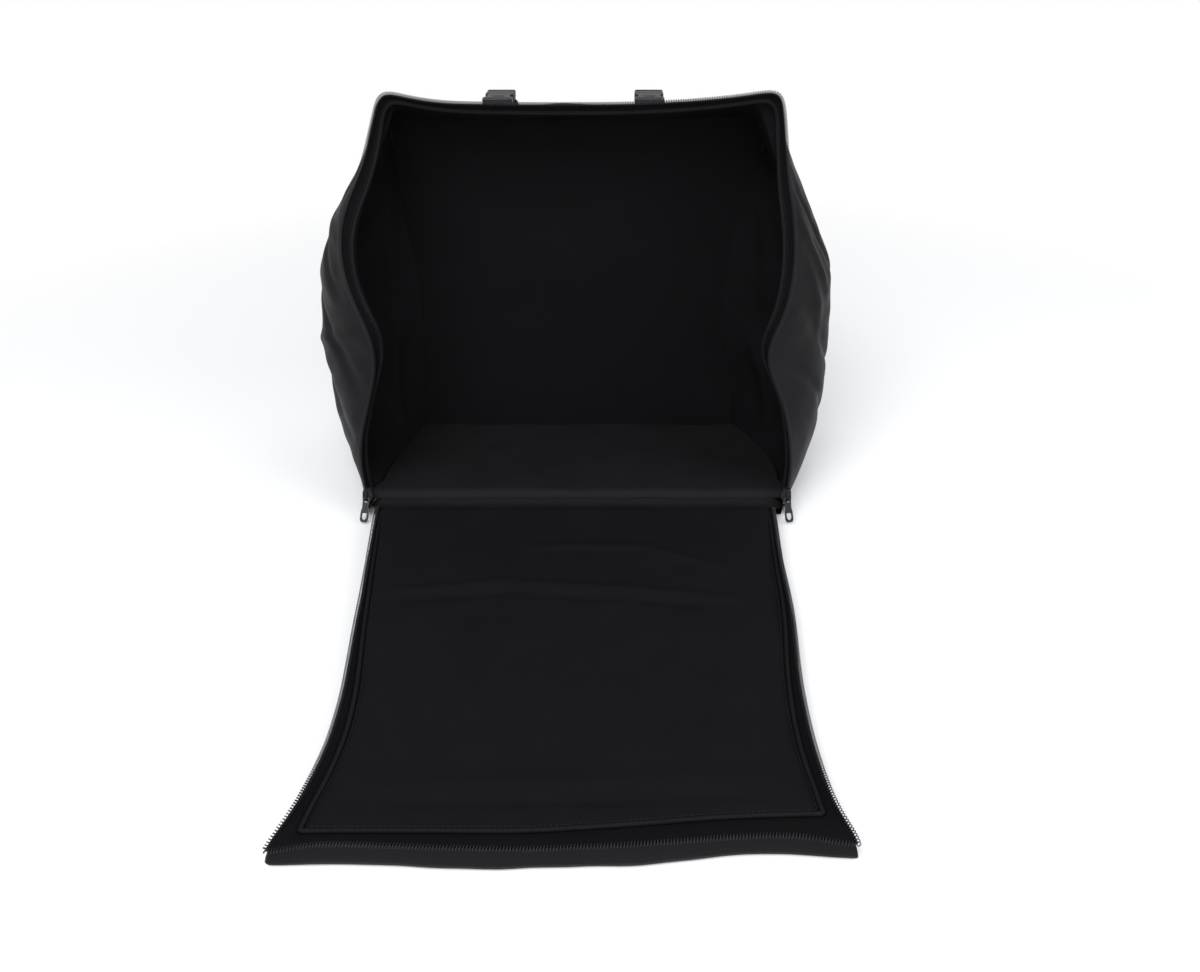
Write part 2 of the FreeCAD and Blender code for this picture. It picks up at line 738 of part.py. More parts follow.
def socket(side_name, side):
    """Hollow half of the buckle: a flat sleeve with side windows and a bar for its web."""
    name = side_name + "_buckle_socket"
    body = box(name + "_block", "sizes.buckle_width", "sizes.socket_length", "sizes.buckle_height",
               ("-sizes.buckle_width / 2", "0", "0"))
    slot_end = "(sizes.bar_length + sizes.slot_length)"
    web_slot = box(name + "_slot", "sizes.web_width + 2 * sizes.fit_gap", "sizes.slot_length",
                   "sizes.buckle_height + 2 * sizes.overrun",
                   ("-sizes.web_width / 2 - sizes.fit_gap", "sizes.bar_length", "-sizes.overrun"))
    mouth_start = slot_end + " + sizes.socket_wall"
    hollow = box(name + "_hollow", "sizes.buckle_width - 2 * sizes.socket_wall",
                 "sizes.socket_length - %s - sizes.socket_wall + sizes.overrun" % slot_end,
                 "sizes.buckle_height - 2 * sizes.socket_wall",
                 ("-sizes.buckle_width / 2 + sizes.socket_wall", mouth_start, "sizes.socket_wall"))
    window = box(name + "_window", "sizes.buckle_width + 2 * sizes.overrun", "sizes.window_length",
                 "sizes.buckle_height - 2 * sizes.socket_wall",
                 ("-sizes.buckle_width / 2 - sizes.overrun", mouth_start, "sizes.socket_wall"))
    solid = cut(name, body, [web_slot, hollow, window])
    solid.Placement.Base = Vector(side * mm.strap_offset, buckle_y, buckle_z)
    return keep(solid, name)


def plug(side_name, side):
    """Half of the buckle with two springy prongs, a tongue and a bar for the strap."""
    name = side_name + "_buckle_plug"
    inner = "(sizes.buckle_width / 2 - sizes.socket_wall - sizes.fit_gap)"
    prong_height = "(sizes.buckle_height - 2 * sizes.socket_wall - 2 * sizes.fit_gap)"
    low = "sizes.socket_wall + sizes.fit_gap"
    base = box(name + "_base", "sizes.buckle_width", "sizes.plug_base", "sizes.buckle_height",
               ("-sizes.buckle_width / 2", "0", "0"))
    web_slot = box(name + "_slot", "sizes.web_width + 2 * sizes.fit_gap", "sizes.slot_length",
                   "sizes.buckle_height + 2 * sizes.overrun",
                   ("-sizes.web_width / 2 - sizes.fit_gap",
                    "sizes.plug_base - sizes.bar_length - sizes.slot_length", "-sizes.overrun"))
    prongs = [box("%s_prong_%d" % (name, n), "sizes.prong_width", "sizes.plug_tongue + sizes.overrun",
                  prong_height, (x, "-sizes.plug_tongue", low))
              for n, x in enumerate(("-" + inner, "-sizes.prong_width / 2", inner + " - sizes.prong_width"))]
    solid = fuse(name, [cut(name, base, [web_slot])] + prongs)
    solid.Placement.Base = Vector(side * mm.strap_offset, plug_y, buckle_z)
    return keep(solid, name)


def adjuster(side_name, side):
    """Ladder buckle: a flat sleeve on the lower web with a window over its bar."""
    name = side_name + "_strap_adjuster"
    body = box(name + "_block", "sizes.adjuster_width", "sizes.adjuster_length",
               "sizes.adjuster_thickness",
               ("-sizes.adjuster_width / 2", "-sizes.adjuster_length", "-sizes.adjuster_thickness / 2"))
    channel = box(name + "_channel", "sizes.web_width + 2 * sizes.fit_gap",
                  "sizes.adjuster_length + 2 * sizes.overrun", "sizes.web_thickness + 2 * sizes.fit_gap",
                  ("-sizes.web_width / 2 - sizes.fit_gap", "-sizes.adjuster_length - sizes.overrun",
                   "-sizes.web_thickness / 2 - sizes.fit_gap"))
    windows = [box("%s_window_%d" % (name, n), "sizes.web_width", "sizes.adjuster_window",
                   "sizes.adjuster_thickness", ("-sizes.web_width / 2", y, "-sizes.adjuster_thickness"))
               for n, y in enumerate(("-sizes.bar_length - sizes.adjuster_window",
                                      "-sizes.adjuster_length + sizes.bar_length"))]
    solid = cut(name, body, [channel] + windows)
    solid.Placement = back_frame(side * mm.strap_offset, adjuster_high, web_depth)
    return keep(solid, name)


def back_frame(x, up, depth):
    """Placement of a piece on the back, its z towards the mouth, some way behind the back section."""
    placement = section_frame(BACK, 0)
    placement.Base = BACK.point(x, up, -depth)
    return placement


def strap(side_name, side):
    """One shoulder strap: its anchor, buckle, webs, padded part, adjuster and lower tab."""
    x_middle = side * mm.strap_offset
    flat_end_y = anchor_y + mm.anchor_length * mm.anchor_flat_share
    anchor = [Vector(0, anchor_y, skin_height(anchor_y) + mm.layer_gap + web_half),
              Vector(0, flat_end_y, skin_height(flat_end_y) + mm.layer_gap + web_half),
              Vector(0, anchor_y + mm.anchor_length, web_z)]
    feature(side_name + "_anchor_web", band_shape(anchor, x_middle, mm.web_width, mm.web_thickness))
    socket(side_name, side)
    plug(side_name, side)
    over = mm.piping_radius * 2 + mm.web_thickness + mm.layer_gap
    crest_y = back_top.y - mm.web_width
    crest_z = max(back_top.z + mm.web_width * mm.web_rise_share, skin_height(crest_y)) + over
    upper = [Vector(0, plug_end_y + mm.web_thickness, web_z),
             Vector(0, crest_y, crest_z),
             Vector(0, back_top.y, back_top.z + over),
             BACK.point(0, BACK.height - over, -web_depth),
             BACK.point(0, pad_high + mm.fit_gap, -web_depth)]
    feature(side_name + "_upper_web", band_shape(upper, x_middle, mm.web_width, mm.web_thickness))
    pad_block = box(side_name + "_pad_block", "sizes.pad_width", "sizes.pad_length", "sizes.pad_thickness")
    rounded = doc.addObject("Part::Fillet", side_name + "_shoulder_pad")
    rounded.Base = pad_block
    doc.recompute()
    rounded.Edges = [(n, mm.pad_round, mm.pad_round) for n in range(1, len(pad_block.Shape.Edges) + 1)]
    rounded.Placement = back_frame(x_middle - mm.pad_width / 2, pad_low, pad_depth + mm.pad_thickness)
    keep(rounded, side_name + "_shoulder_pad")
    lower = [BACK.point(0, pad_low - mm.fit_gap, -web_depth),
             BACK.point(0, bend_high, -web_depth),
             BACK.point(0, tab_high, -seat_depth),
             BACK.point(0, mm.tab_low, -seat_depth)]
    feature(side_name + "_lower_web", band_shape(lower, x_middle, mm.web_width, mm.web_thickness))
    adjuster(side_name, side)
    tab = box(side_name + "_strap_tab", "sizes.tab_width", "sizes.tab_length", "sizes.tab_thickness")
    tab.Placement = back_frame(x_middle - mm.tab_width / 2, mm.tab_low, tab_depth + mm.tab_thickness)
    keep(tab, side_name + "_strap_tab")


for side_name, side in SIDES:
    strap(side_name, side)

# Carrying handle, hanging down the back between the shoulder straps

back_down = (BACK.point(0, 0) - BACK.point(0, 1)).normalize()
back_behind = (BACK.point(0, 0) - BACK.point(0, 0, 1)).normalize()
hanging = frame_at(BACK.point(0, mm.handle_up, -(back_skin_depth + mm.handle_rise)),
                   Vector(1, 0, 0), back_down, back_behind)
handle_web = cut("handle_web", box(
    "handle_web_block", "2 * sizes.handle_half_width", "sizes.handle_reach", "sizes.handle_thickness",
    ("-sizes.handle_half_width", "0", "0")), [box(
        "handle_web_opening", "2 * sizes.handle_half_width - 2 * sizes.handle_web",
        "sizes.handle_reach - sizes.handle_bar + sizes.overrun",
        "sizes.handle_thickness + 2 * sizes.overrun",
        ("-sizes.handle_half_width + sizes.handle_web", "-sizes.overrun", "-sizes.overrun"))])
handle_web.Placement = hanging
keep(handle_web, "handle_web")
grip = cut("handle_grip", rod(
    "handle_grip_roll", "sizes.grip_radius", "sizes.grip_length",
    ("-sizes.grip_length / 2", "sizes.handle_reach - sizes.handle_bar / 2", "sizes.handle_thickness / 2"),
    Vector(1, 0, 0)), [box(
        "handle_grip_slot", "sizes.grip_length + 2 * sizes.overrun",
        "sizes.handle_bar + 2 * sizes.fit_gap", "sizes.handle_thickness + 2 * sizes.fit_gap",
        ("-sizes.grip_length / 2 - sizes.overrun",
         "sizes.handle_reach - sizes.handle_bar - sizes.fit_gap", "-sizes.fit_gap"))])
grip.Placement = hanging
keep(grip, "handle_grip")
loops = []
for side_name, side in SIDES:
    loop = box("handle_loop_" + side_name, "sizes.handle_web", "sizes.loop_length",
               "sizes.handle_rise - 2 * sizes.layer_gap",
               (side_span(side, "sizes.handle_half_width - sizes.handle_web", "sizes.handle_web"),
                "-sizes.loop_length / 2", "sizes.layer_gap - sizes.handle_rise"))
    loops.append(loop)
loop_pair = doc.addObject("Part::Compound", "handle_loops")
loop_pair.Links = loops
loop_pair.Placement = hanging
keep(loop_pair, "handle_loops")

# Check every object, then write one file for each sub-part

doc.recompute()
for obj in doc.Objects:
    if "Invalid" in obj.State or "Error" in obj.State:
        raise RuntimeError("%s failed: %s" % (obj.Label, obj.State))
for obj in finished:
    if obj.Shape.isNull() or not obj.Shape.isValid():
        raise RuntimeError("%s has no valid shape" % obj.Label)
for obj in finished:
    obj.Shape.exportStep(os.path.join("parts", obj.Label + ".step"))


def metres(point):
    """A point in metres, rounded to a hundredth of a millimetre."""
    return [round(value / 1000, 5) for value in point]


print("sub-parts", len(finished))
print("panel hinge at", metres(pivot), "closes through", 90 + mm.mouth_lean)
for side_name, side in SIDES:
    print(side_name, "zip runs along", [round(v, 6) for v in zip_frame(side, 0)[3]], "for", slider_travel)
    place = zip_frame(side, slider_rest - pull_drop, pull_forward)
    print(side_name, "pull turns at", metres(place[0]), "about", [round(v, 6) for v in place[1]])
print("handle turns at", metres(hanging.Base))
print("strap adjusters run along", [round(v, 6) for v in back_down])
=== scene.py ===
"""Looks of the soft accordion case: sewn shells, zip, buckles, straps, floor, lights and camera.

Metres, +Z up, the mouth of the case towards -Y.
"""

import json
import math

import bpy
import numpy as np
from mathutils import Matrix, Vector


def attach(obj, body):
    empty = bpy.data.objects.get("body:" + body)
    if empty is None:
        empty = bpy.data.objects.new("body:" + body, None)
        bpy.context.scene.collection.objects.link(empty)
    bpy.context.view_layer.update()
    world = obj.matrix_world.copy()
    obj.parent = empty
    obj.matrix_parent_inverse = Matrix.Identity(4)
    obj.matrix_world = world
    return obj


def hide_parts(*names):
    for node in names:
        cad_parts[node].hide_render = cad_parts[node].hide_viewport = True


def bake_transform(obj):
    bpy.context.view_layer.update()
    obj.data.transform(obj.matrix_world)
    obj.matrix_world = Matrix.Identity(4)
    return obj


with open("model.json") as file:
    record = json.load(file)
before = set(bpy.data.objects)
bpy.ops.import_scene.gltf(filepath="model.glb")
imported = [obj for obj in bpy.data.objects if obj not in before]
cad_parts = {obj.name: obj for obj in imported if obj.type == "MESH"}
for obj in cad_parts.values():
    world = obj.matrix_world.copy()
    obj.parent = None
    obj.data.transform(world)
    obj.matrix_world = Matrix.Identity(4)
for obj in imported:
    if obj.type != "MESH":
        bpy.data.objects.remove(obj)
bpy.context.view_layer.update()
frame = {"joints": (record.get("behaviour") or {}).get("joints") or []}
TAU = 2 * math.pi


# Values in a material: Python expressions that become shader nodes

class Value:
    """One output of a material's node tree, combined with + - * ** and the methods below."""

    def __init__(self, shade, socket):
        self.shade = shade
        self.socket = socket

    def math(self, operation, *others):
        """A Math node fed by this value and the others."""
        return self.shade.node("ShaderNodeMath", (self,) + others, operation=operation)

    def __add__(self, other):
        return self.math("ADD", other)

    def __sub__(self, other):
        return self.math("SUBTRACT", other)

    def __mul__(self, other):
        return self.math("MULTIPLY", other)

    def __pow__(self, other):
        return self.math("POWER", other)

    def sin(self):
        return self.math("SINE")

    def size(self):
        return self.math("ABSOLUTE")

    def capped(self, low, high):
        """This value kept between two limits."""
        return self.math("MAXIMUM", low).math("MINIMUM", high)

    def mix(self, first, second):
        """The first colour where this value is 0 and the second where it is 1."""
        return self.shade.node("ShaderNodeMix", {0: self, 6: first, 7: second}, output=2, data_type="RGBA")


class Shade:
    """A Principled material whose inputs take numbers, colours or values."""

    def __init__(self, name):
        self.material = bpy.data.materials.new(name)
        self.material.use_nodes = True
        self.nodes = self.material.node_tree.nodes
        self.links = self.material.node_tree.links
        self.surface = self.nodes["Principled BSDF"]

    def feed(self, socket, content):
        """Links a value to an input, or sets the input to a number or colour."""
        if isinstance(content, Value):
            self.links.new(content.socket, socket)
        elif hasattr(content, "__len__") and len(content) == 3 and socket.type == "RGBA":
            socket.default_value = (*content, 1)
        else:
            socket.default_value = content

    def node(self, kind, inputs=(), output=0, **settings):
        """Any node: inputs by place or by name, and one of its outputs as a value."""
        made = self.nodes.new(kind)
        for key, setting in settings.items():
            setattr(made, key, setting)
        pairs = inputs.items() if isinstance(inputs, dict) else enumerate(inputs)
        for key, content in pairs:
            self.feed(made.inputs[key], content)
        return Value(self, made.outputs[output])

    def place(self):
        """The three Object coordinates, in metres."""
        where = self.node("ShaderNodeTexCoord", output="Object")
        return [self.node("ShaderNodeSeparateXYZ", (where,), output=n) for n in range(3)], where

    def weave_place(self):
        """The two UV coordinates, in metres along the cloth."""
        where = self.node("ShaderNodeTexCoord", output="UV")
        return [self.node("ShaderNodeSeparateXYZ", (where,), output=n) for n in range(2)]

    def noise(self, where, scale, detail=3.0):
        """Soft noise from 0 to 1 at a number of cells to the metre."""
        return self.node("ShaderNodeTexNoise", {"Vector": where, "Scale": scale, "Detail": detail})

    def bump(self, height, distance):
        """Raises the surface by a height value times a distance in metres."""
        normal = self.node("ShaderNodeBump", {"Height": height, "Distance": distance, "Strength": 1.0})
        self.feed(self.surface.inputs["Normal"], normal)

    def finish(self, **inputs):
        """Sets the surface's inputs, whose names have _ for a space."""
        for key, content in inputs.items():
            self.feed(self.surface.inputs[key.replace("_", " ")], content)
        return self.material


def cloth(name, dark, light, rough, thread, height, sheen):
    """Woven cloth: over-and-under threads on the UV, uneven in tone and in roughness."""
    shade = Shade(name)
    u, v = shade.weave_place()
    _, where = shade.place()
    over = (u * (TAU / thread)).sin() * (v * (TAU / thread)).sin()
    patch = shade.noise(where, 26)
    fine = shade.noise(where, 420, 2)
    tone = (over * 0.22 + patch * 0.6 + fine * 0.35 - 0.1).capped(0, 1)
    shade.bump(over * 0.5 + fine, height)
    return shade.finish(Base_Color=tone.mix(dark, light), Roughness=(patch * 0.16 + (rough - 0.08)),
                        Specular_IOR_Level=sheen)


def webbing(name, dark, light):
    """Ribbed webbing: a herringbone of ribs along the strap, from its UV."""
    shade = Shade(name)
    u, v = shade.weave_place()
    _, where = shade.place()
    slant = (u * (TAU / 0.006)).sin().size() * 0.0016
    rib = ((v + slant) * (TAU / 0.0017)).sin()
    cross = (u * (TAU / 0.0011)).sin()
    fine = shade.noise(where, 500, 2)
    tone = (rib * 0.3 + cross * 0.1 + fine * 0.5 + 0.1).capped(0, 1)
    shade.bump(rib * 0.6 + cross * 0.25 + fine * 0.3, 0.0004)
    return shade.finish(Base_Color=tone.mix(dark, light), Roughness=0.62, Specular_IOR_Level=0.22)


def moulded(name, dark, light, rough, grain, coat, shine=0.5):
    """Smooth hard material with a faint grain."""
    shade = Shade(name)
    _, where = shade.place()
    speck = shade.noise(where, 900, 2)
    cloud = shade.noise(where, 60)
    shade.bump(speck, grain)
    return shade.finish(Base_Color=cloud.mix(dark, light), Roughness=cloud * 0.12 + (rough - 0.06),
                        Coat_Weight=coat, Coat_Roughness=0.25, Specular_IOR_Level=shine)


NYLON = cloth("outer_nylon", (0.0024, 0.0023, 0.0029), (0.0056, 0.0054, 0.0066), 0.43, 0.0011, 0.00018, 0.11)
LINING = cloth("lining", (0.0034, 0.0034, 0.0040), (0.0064, 0.0064, 0.0074), 0.80, 0.0008, 0.00010, 0.06)
FLOOR_CLOTH = cloth("floor_cloth", (0.0066, 0.0066, 0.0074), (0.0120, 0.0120, 0.0132),
                    0.70, 0.0009, 0.00012, 0.10)
TAPE = cloth("zip_tape", (0.0026, 0.0026, 0.0030), (0.0056, 0.0056, 0.0062), 0.80, 0.0007, 0.0001, 0.05)
BINDING = cloth("binding", (0.0050, 0.0050, 0.0057), (0.0100, 0.0100, 0.0112), 0.60, 0.0012, 0.00015, 0.06)
PAD_CLOTH = cloth("pad_fabric", (0.007, 0.007, 0.0082), (0.014, 0.014, 0.016), 0.62, 0.0014, 0.0002, 0.18)
WEB = webbing("webbing", (0.005, 0.005, 0.006), (0.015, 0.015, 0.017))
THREAD = moulded("thread", (0.010, 0.010, 0.011), (0.018, 0.018, 0.020), 0.60, 0.0, 0.0, 0.15)
COIL = moulded("zip_coil", (0.012, 0.012, 0.0135), (0.021, 0.021, 0.023), 0.40, 0.00002, 0.0, 0.20)
PLASTIC = moulded("buckle_plastic", (0.005, 0.005, 0.006), (0.008, 0.008, 0.009), 0.34, 0.00003, 0.0, 0.32)
ENAMEL = moulded("slider_metal", (0.009, 0.009, 0.010), (0.015, 0.015, 0.0165), 0.42, 0.00003, 0.0, 0.18)


# Meshes built from grids of points

def mesh_object(name, points, faces, material, body, uvs=None):
    """A shaded mesh that rides on a body; uvs has one pair for each point."""
    mesh = bpy.data.meshes.new(name)
    mesh.from_pydata([tuple(p) for p in points], [], [tuple(int(i) for i in f) for f in faces])
    mesh.materials.append(material)
    mesh.polygons.foreach_set("use_smooth", [True] * len(mesh.polygons))
    if uvs is not None:
        layer = mesh.uv_layers.new(name="cloth")
        corners = np.zeros(len(mesh.loops), int)
        mesh.loops.foreach_get("vertex_index", corners)
        layer.data.foreach_set("uv", np.asarray(uvs, float)[corners].ravel())
    obj = bpy.data.objects.new(name, mesh)
    bpy.context.scene.collection.objects.link(obj)
    if body:
        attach(obj, body)
    return obj


def grid_faces(rows, columns, wrap=False, start=0):
    """Quads of a grid of points; wrap joins the last column to the first."""
    i, j = np.meshgrid(np.arange(rows - 1), np.arange(columns if wrap else columns - 1), indexing="ij")
    k = (j + 1) % columns
    quads = np.stack([i * columns + j, i * columns + k, (i + 1) * columns + k, (i + 1) * columns + j], -1)
    return quads.reshape(-1, 4) + start


def lengths(points, axis):
    """Distance from the start along one axis of a grid, averaged over the other."""
    steps = np.linalg.norm(np.diff(points, axis=axis), axis=2)
    mean = steps.mean(axis=1 - axis)
    return np.concatenate([[0], np.cumsum(mean)])


def grid_uvs(points):
    """UV in metres for every point of a grid."""
    u, v = lengths(points, 1), lengths(points, 0)
    return np.stack(np.meshgrid(u, v), -1).reshape(-1, 2)


def surface(name, points, material, body, flip=False):
    """A sheet through a grid of points."""
    faces = grid_faces(*points.shape[:2])
    if flip:
        faces = faces[:, ::-1]
    return mesh_object(name, points.reshape(-1, 3), faces, material, body, grid_uvs(points))


def unit(v):
    """Vectors scaled to length one."""
    return v / np.maximum(np.linalg.norm(v, axis=-1, keepdims=True), 1e-12)


def smooth_line(points, count):
    """Evenly spaced points on a smooth curve through a few points, as a Catmull-Rom spline."""
    p = np.asarray(points, float)
    p = np.vstack([2 * p[0] - p[1], p, 2 * p[-1] - p[-2]])
    fine = []
    for a, b, c, d in zip(p, p[1:], p[2:], p[3:]):
        for t in np.linspace(0, 1, 24, endpoint=False):
            fine.append(0.5 * (2 * b + (c - a) * t + (2 * a - 5 * b + 4 * c - d) * t * t
                               + (3 * b - a - 3 * c + d) * t ** 3))
    fine.append(p[-2])
    return evenly(np.array(fine), count)


def evenly(line, count):
    """The same line with points at equal distances."""
    line = np.asarray(line, float)
    run = np.concatenate([[0], np.cumsum(np.linalg.norm(np.diff(line, axis=0), axis=1))])
    at = np.linspace(0, run[-1], count)
    return np.stack([np.interp(at, run, line[:, n]) for n in range(3)], -1)


def length_of(line):
    """Length of a line of points."""
    return float(np.linalg.norm(np.diff(line, axis=0), axis=1).sum())


def frames(line, up):
    """Along, side and up vectors at each point, with up kept near the given direction."""
    along = unit(np.gradient(line, axis=0))
    up = np.broadcast_to(np.asarray(up, float), line.shape)
    side = unit(np.cross(along, up))
    return along, side, np.cross(side, along)


def swept(name, line, profile, up, material, body, capped=True):
    """A closed profile of (side, up) points swept along a line."""
    along, side, rise = frames(line, up)
    profile = np.asarray(profile, float)
    rings = line[:, None] + side[:, None] * profile[None, :, :1] + rise[:, None] * profile[None, :, 1:]
    rows, columns = rings.shape[:2]
    faces = [tuple(f) for f in grid_faces(rows, columns, wrap=True)]
    if capped:
        faces.append(tuple(range(columns))[::-1])
        faces.append(tuple((rows - 1) * columns + n for n in range(columns)))
    round_run = np.concatenate([[0], np.cumsum(np.linalg.norm(np.diff(profile, axis=0), axis=1))])
    uvs = np.stack(np.meshgrid(round_run, lengths(rings, 0)), -1).reshape(-1, 2)
    return mesh_object(name, rings.reshape(-1, 3), faces, material, body, uvs)


def circle(radius, sides, flat=1.0):
    """Points of a circle, or of an ellipse whose height is flat times its width."""
    a = np.arange(sides) * TAU / sides
    return np.stack([np.cos(a) * radius, np.sin(a) * radius * flat], -1)


def slab(width, height, rounding, steps=3):
    """Rounded rectangle, anticlockwise."""
    a, b = width / 2 - rounding, height / 2 - rounding
    points = []
    for n, (x, y) in enumerate(((a, b), (-a, b), (-a, -b), (a, -b))):
        for t in np.linspace(0, math.pi / 2, steps + 1):
            points.append((x + rounding * math.cos(t + n * math.pi / 2),
                           y + rounding * math.sin(t + n * math.pi / 2)))
    return points


def band(name, line, width, thickness, up, body):
    """A flat strap of webbing along a line."""
    return swept(name, line, slab(width, thickness, thickness * 0.42), up, WEB, body)


def stitches(name, lines, body, length=0.0028, gap=0.0014, radius=0.00035):
    """Rows of short raised threads, as one mesh; lines holds pairs of a line and its up direction."""
    points, faces = [], []
    ring = circle(radius, 5)
    for line, up in lines:
        total = length_of(line)
        count = max(2, int(total / (length + gap)))
        ends = evenly(line, count * 3 + 1)
        _, side, rise = frames(ends, up)
        for n in range(count):
            a, m, b = 3 * n, 3 * n + 1, 3 * n + 2
            start = len(points)
            for k, lift, share in ((a, -0.6, 0.5), (m, 0.5, 1.0), (b, -0.6, 0.5)):
                for x, y in ring * share:
                    points.append(ends[k] + side[k] * x + rise[k] * (y + lift * radius))
            faces += [tuple(f) for f in grid_faces(3, 5, wrap=True, start=start)]
    return mesh_object(name, points, faces, THREAD, body)


def noise_field(u, v, seed, scale, waves=14):
    """Smooth uneven field of about -1 to 1, from waves of random direction and length."""
    random = np.random.default_rng(seed)
    total = np.zeros_like(u)
    for _ in range(waves):
        angle, size = random.uniform(0, TAU), scale * random.uniform(0.5, 1.6)
        total += np.sin((u * math.cos(angle) + v * math.sin(angle)) * TAU / size + random.uniform(0, TAU)) * (
            size / scale) ** 0.7
    return total / math.sqrt(waves)


def fold(u, v, start, end, width, height):
    """A soft ridge from start to end, fading at both, in the same units as u and v."""
    a, b = np.array(start, float), np.array(end, float)
    d = b - a
    t = np.clip(((u - a[0]) * d[0] + (v - a[1]) * d[1]) / (d @ d), 0, 1)
    away = np.hypot(u - a[0] - d[0] * t, v - a[1] - d[1] * t)
    return height * np.sin(np.pi * np.clip(t, 0.04, 0.96)) ** 0.5 * np.exp(-(away / width) ** 2)


# Form of the case: three upright sections, as the solids have them, with a limp rim

HALF_DEPTH = 0.098
LEANS = (13.0, 7.0, 2.0)
HEIGHTS = (0.4505, 0.4185, 0.3960)
SIDE_HEIGHTS = (0.430, 0.415, 0.396)
DIP_SHARES = (1.0, 0.55, 0.08)
MOUTH_UPRIGHT_SHARE = 0.974
BACK_TOP = HEIGHTS[2]
BACK_HALF = 0.2
SKIN_BEHIND = -0.0086


def mixed(w, mouth, middle, back):
    """Quadratic through the values at the mouth, half way back and at the back."""
    return mouth * (1 - w) * (1 - 2 * w) + middle * 4 * w * (1 - w) + back * w * (2 * w - 1)


RIM_LEFT = ([0, .02, .045, .081, .125, .157, .183, .210, .240, .270, .300, .325, .350, .379, .405, .430],
            [.231, .232, .238, .236, .222, .213, .216, .228, .240, .243, .239, .227, .213, .204, .196, .189])
RIM_RIGHT = ([0, .02, .045, .071, .100, .121, .140, .161, .178, .201, .231, .260, .303, .329, .400, .430],
             [.231, .232, .237, .235, .230, .224, .214, .204, .205, .221, .228, .231, .228, .221, .213, .209])


def smoothed_table(table, at, step):
    """Value of a table of places and values, averaged over seven neighbouring places."""
    return sum(np.interp(at + n * step / 3, *table) for n in range(-3, 4)) / 7


def rim_half(side, z):
    """Half-width of the zip's coil line on one side at a height."""
    return smoothed_table(RIM_LEFT if side < 0 else RIM_RIGHT, z, 0.015)


def section_point(x, up, w, out=0.0):
    """Point of the section at depth w: 0 is the mouth and 1 the back."""
    lean = np.radians(mixed(w, *LEANS))
    offset = -HALF_DEPTH + 2 * HALF_DEPTH * w
    return np.stack(np.broadcast_arrays(x, offset + up * np.sin(lean) - out * np.cos(lean),
                                        up * np.cos(lean) + out * np.sin(lean)), -1)


MIDDLE_LEFT = ([0, .03, .07, .13, .20, .30, .40, .50, .60, .70, .80, .90, 1.0],
               [.224, .235, .248, .265, .277, .283, .288, .286, .277, .262, .237, .218, .205])
MIDDLE_RIGHT = ([0, .03, .07, .13, .20, .30, .40, .50, .60, .70, .80, .90, 1.0],
                [.226, .243, .257, .267, .275, .282, .283, .283, .278, .260, .242, .221, .202])
BACK_LEFT = ([0, .10, .165, .20, .25, .30, .35, .37, .40],
             [.204, .204, .200, .200, .207, .214, .214, .217, .224])
BACK_RIGHT = ([0, .08, .12, .17, .20, .26, .30, .34, .37, .40],
              [.194, .190, .177, .179, .178, .187, .194, .209, .222, .232])


def back_half(side, z):
    """Half-width of the back at a height: its corners are drawn in half way up."""
    return smoothed_table(BACK_LEFT if side < 0 else BACK_RIGHT, z, 0.014)


def side_half(side, share, w, inset, drawn=1.0):
    """Half-width of a side wall at a share of the height and a depth."""
    height = mixed(w, *SIDE_HEIGHTS)
    mouth = rim_half(side, share * height * MOUTH_UPRIGHT_SHARE) - inset
    middle = smoothed_table(MIDDLE_LEFT if side < 0 else MIDDLE_RIGHT, share, 0.03) - inset
    straight = 0.205 + 0.003 * share
    back = straight + drawn * (back_half(side, share * height) + 0.006 - straight) - inset
    return mixed(w, mouth, middle, back)


TOP_DIP = ([0, .06, .16, .35, .60, .75, .86, .94, 1.0],
           [0, .0080, .0135, .0145, .0143, .0120, .0085, .0045, 0])


def wall_line(w, inset, count=150, rounding=4.0, top_inset=None):
    """Up the left wall, over the top and down the right wall at one depth, with round corners."""
    height = mixed(w, *HEIGHTS) - (inset if top_inset is None else top_inset)
    low = max(inset - 0.008, 0.0)
    share = np.linspace(low / height, 1, count)
    drawn = 0.35 if inset < 0.01 else 1.0
    left = np.stack([-side_half(-1, share, w, inset, drawn), share * height], -1)
    right = np.stack([side_half(1, share, w, inset, drawn), share * height], -1)[::-1]
    across = np.linspace(left[-1, 0], right[0, 0], count)[1:-1]
    mid = (across - left[-1, 0]) / (right[0, 0] - left[-1, 0])
    dip = mixed(w, *DIP_SHARES) * smoothed_table(TOP_DIP, mid, 0.03)
    top = np.stack([across, height - dip], -1)
    line = np.vstack([left, top, right])
    line3 = evenly(np.hstack([line, np.zeros((len(line), 1))]), 3 * count)[:, :2]
    reach = 14
    kernel = np.exp(-0.5 * (np.arange(-reach, reach + 1) / rounding) ** 2)
    kernel /= kernel.sum()
    padded = np.vstack([2 * line3[0] - line3[reach:0:-1], line3, 2 * line3[-1] - line3[-2:-reach - 2:-1]])
    return np.stack([np.convolve(padded[:, n], kernel, "valid") for n in range(2)], -1)


def wall_grid(depths, inset, wrinkle, rounding=4.0, top_inset=None):
    """Grid of the three walls: rows go from the mouth to the back."""
    rows = []
    for w in depths:
        line = wall_line(w, inset, rounding=rounding, top_inset=top_inset)
        rows.append(section_point(line[:, 0], line[:, 1], w))
    grid = np.array(rows)
    along = np.gradient(grid, axis=1)
    deep = np.gradient(grid, axis=0)
    normal = unit(np.cross(along, deep))
    s = np.linspace(0, 1, grid.shape[1])[None, :] * np.ones((len(depths), 1))
    w = np.asarray(depths)[:, None] * np.ones((1, grid.shape[1]))
    return grid - normal * wrinkle(s, w)[..., None]


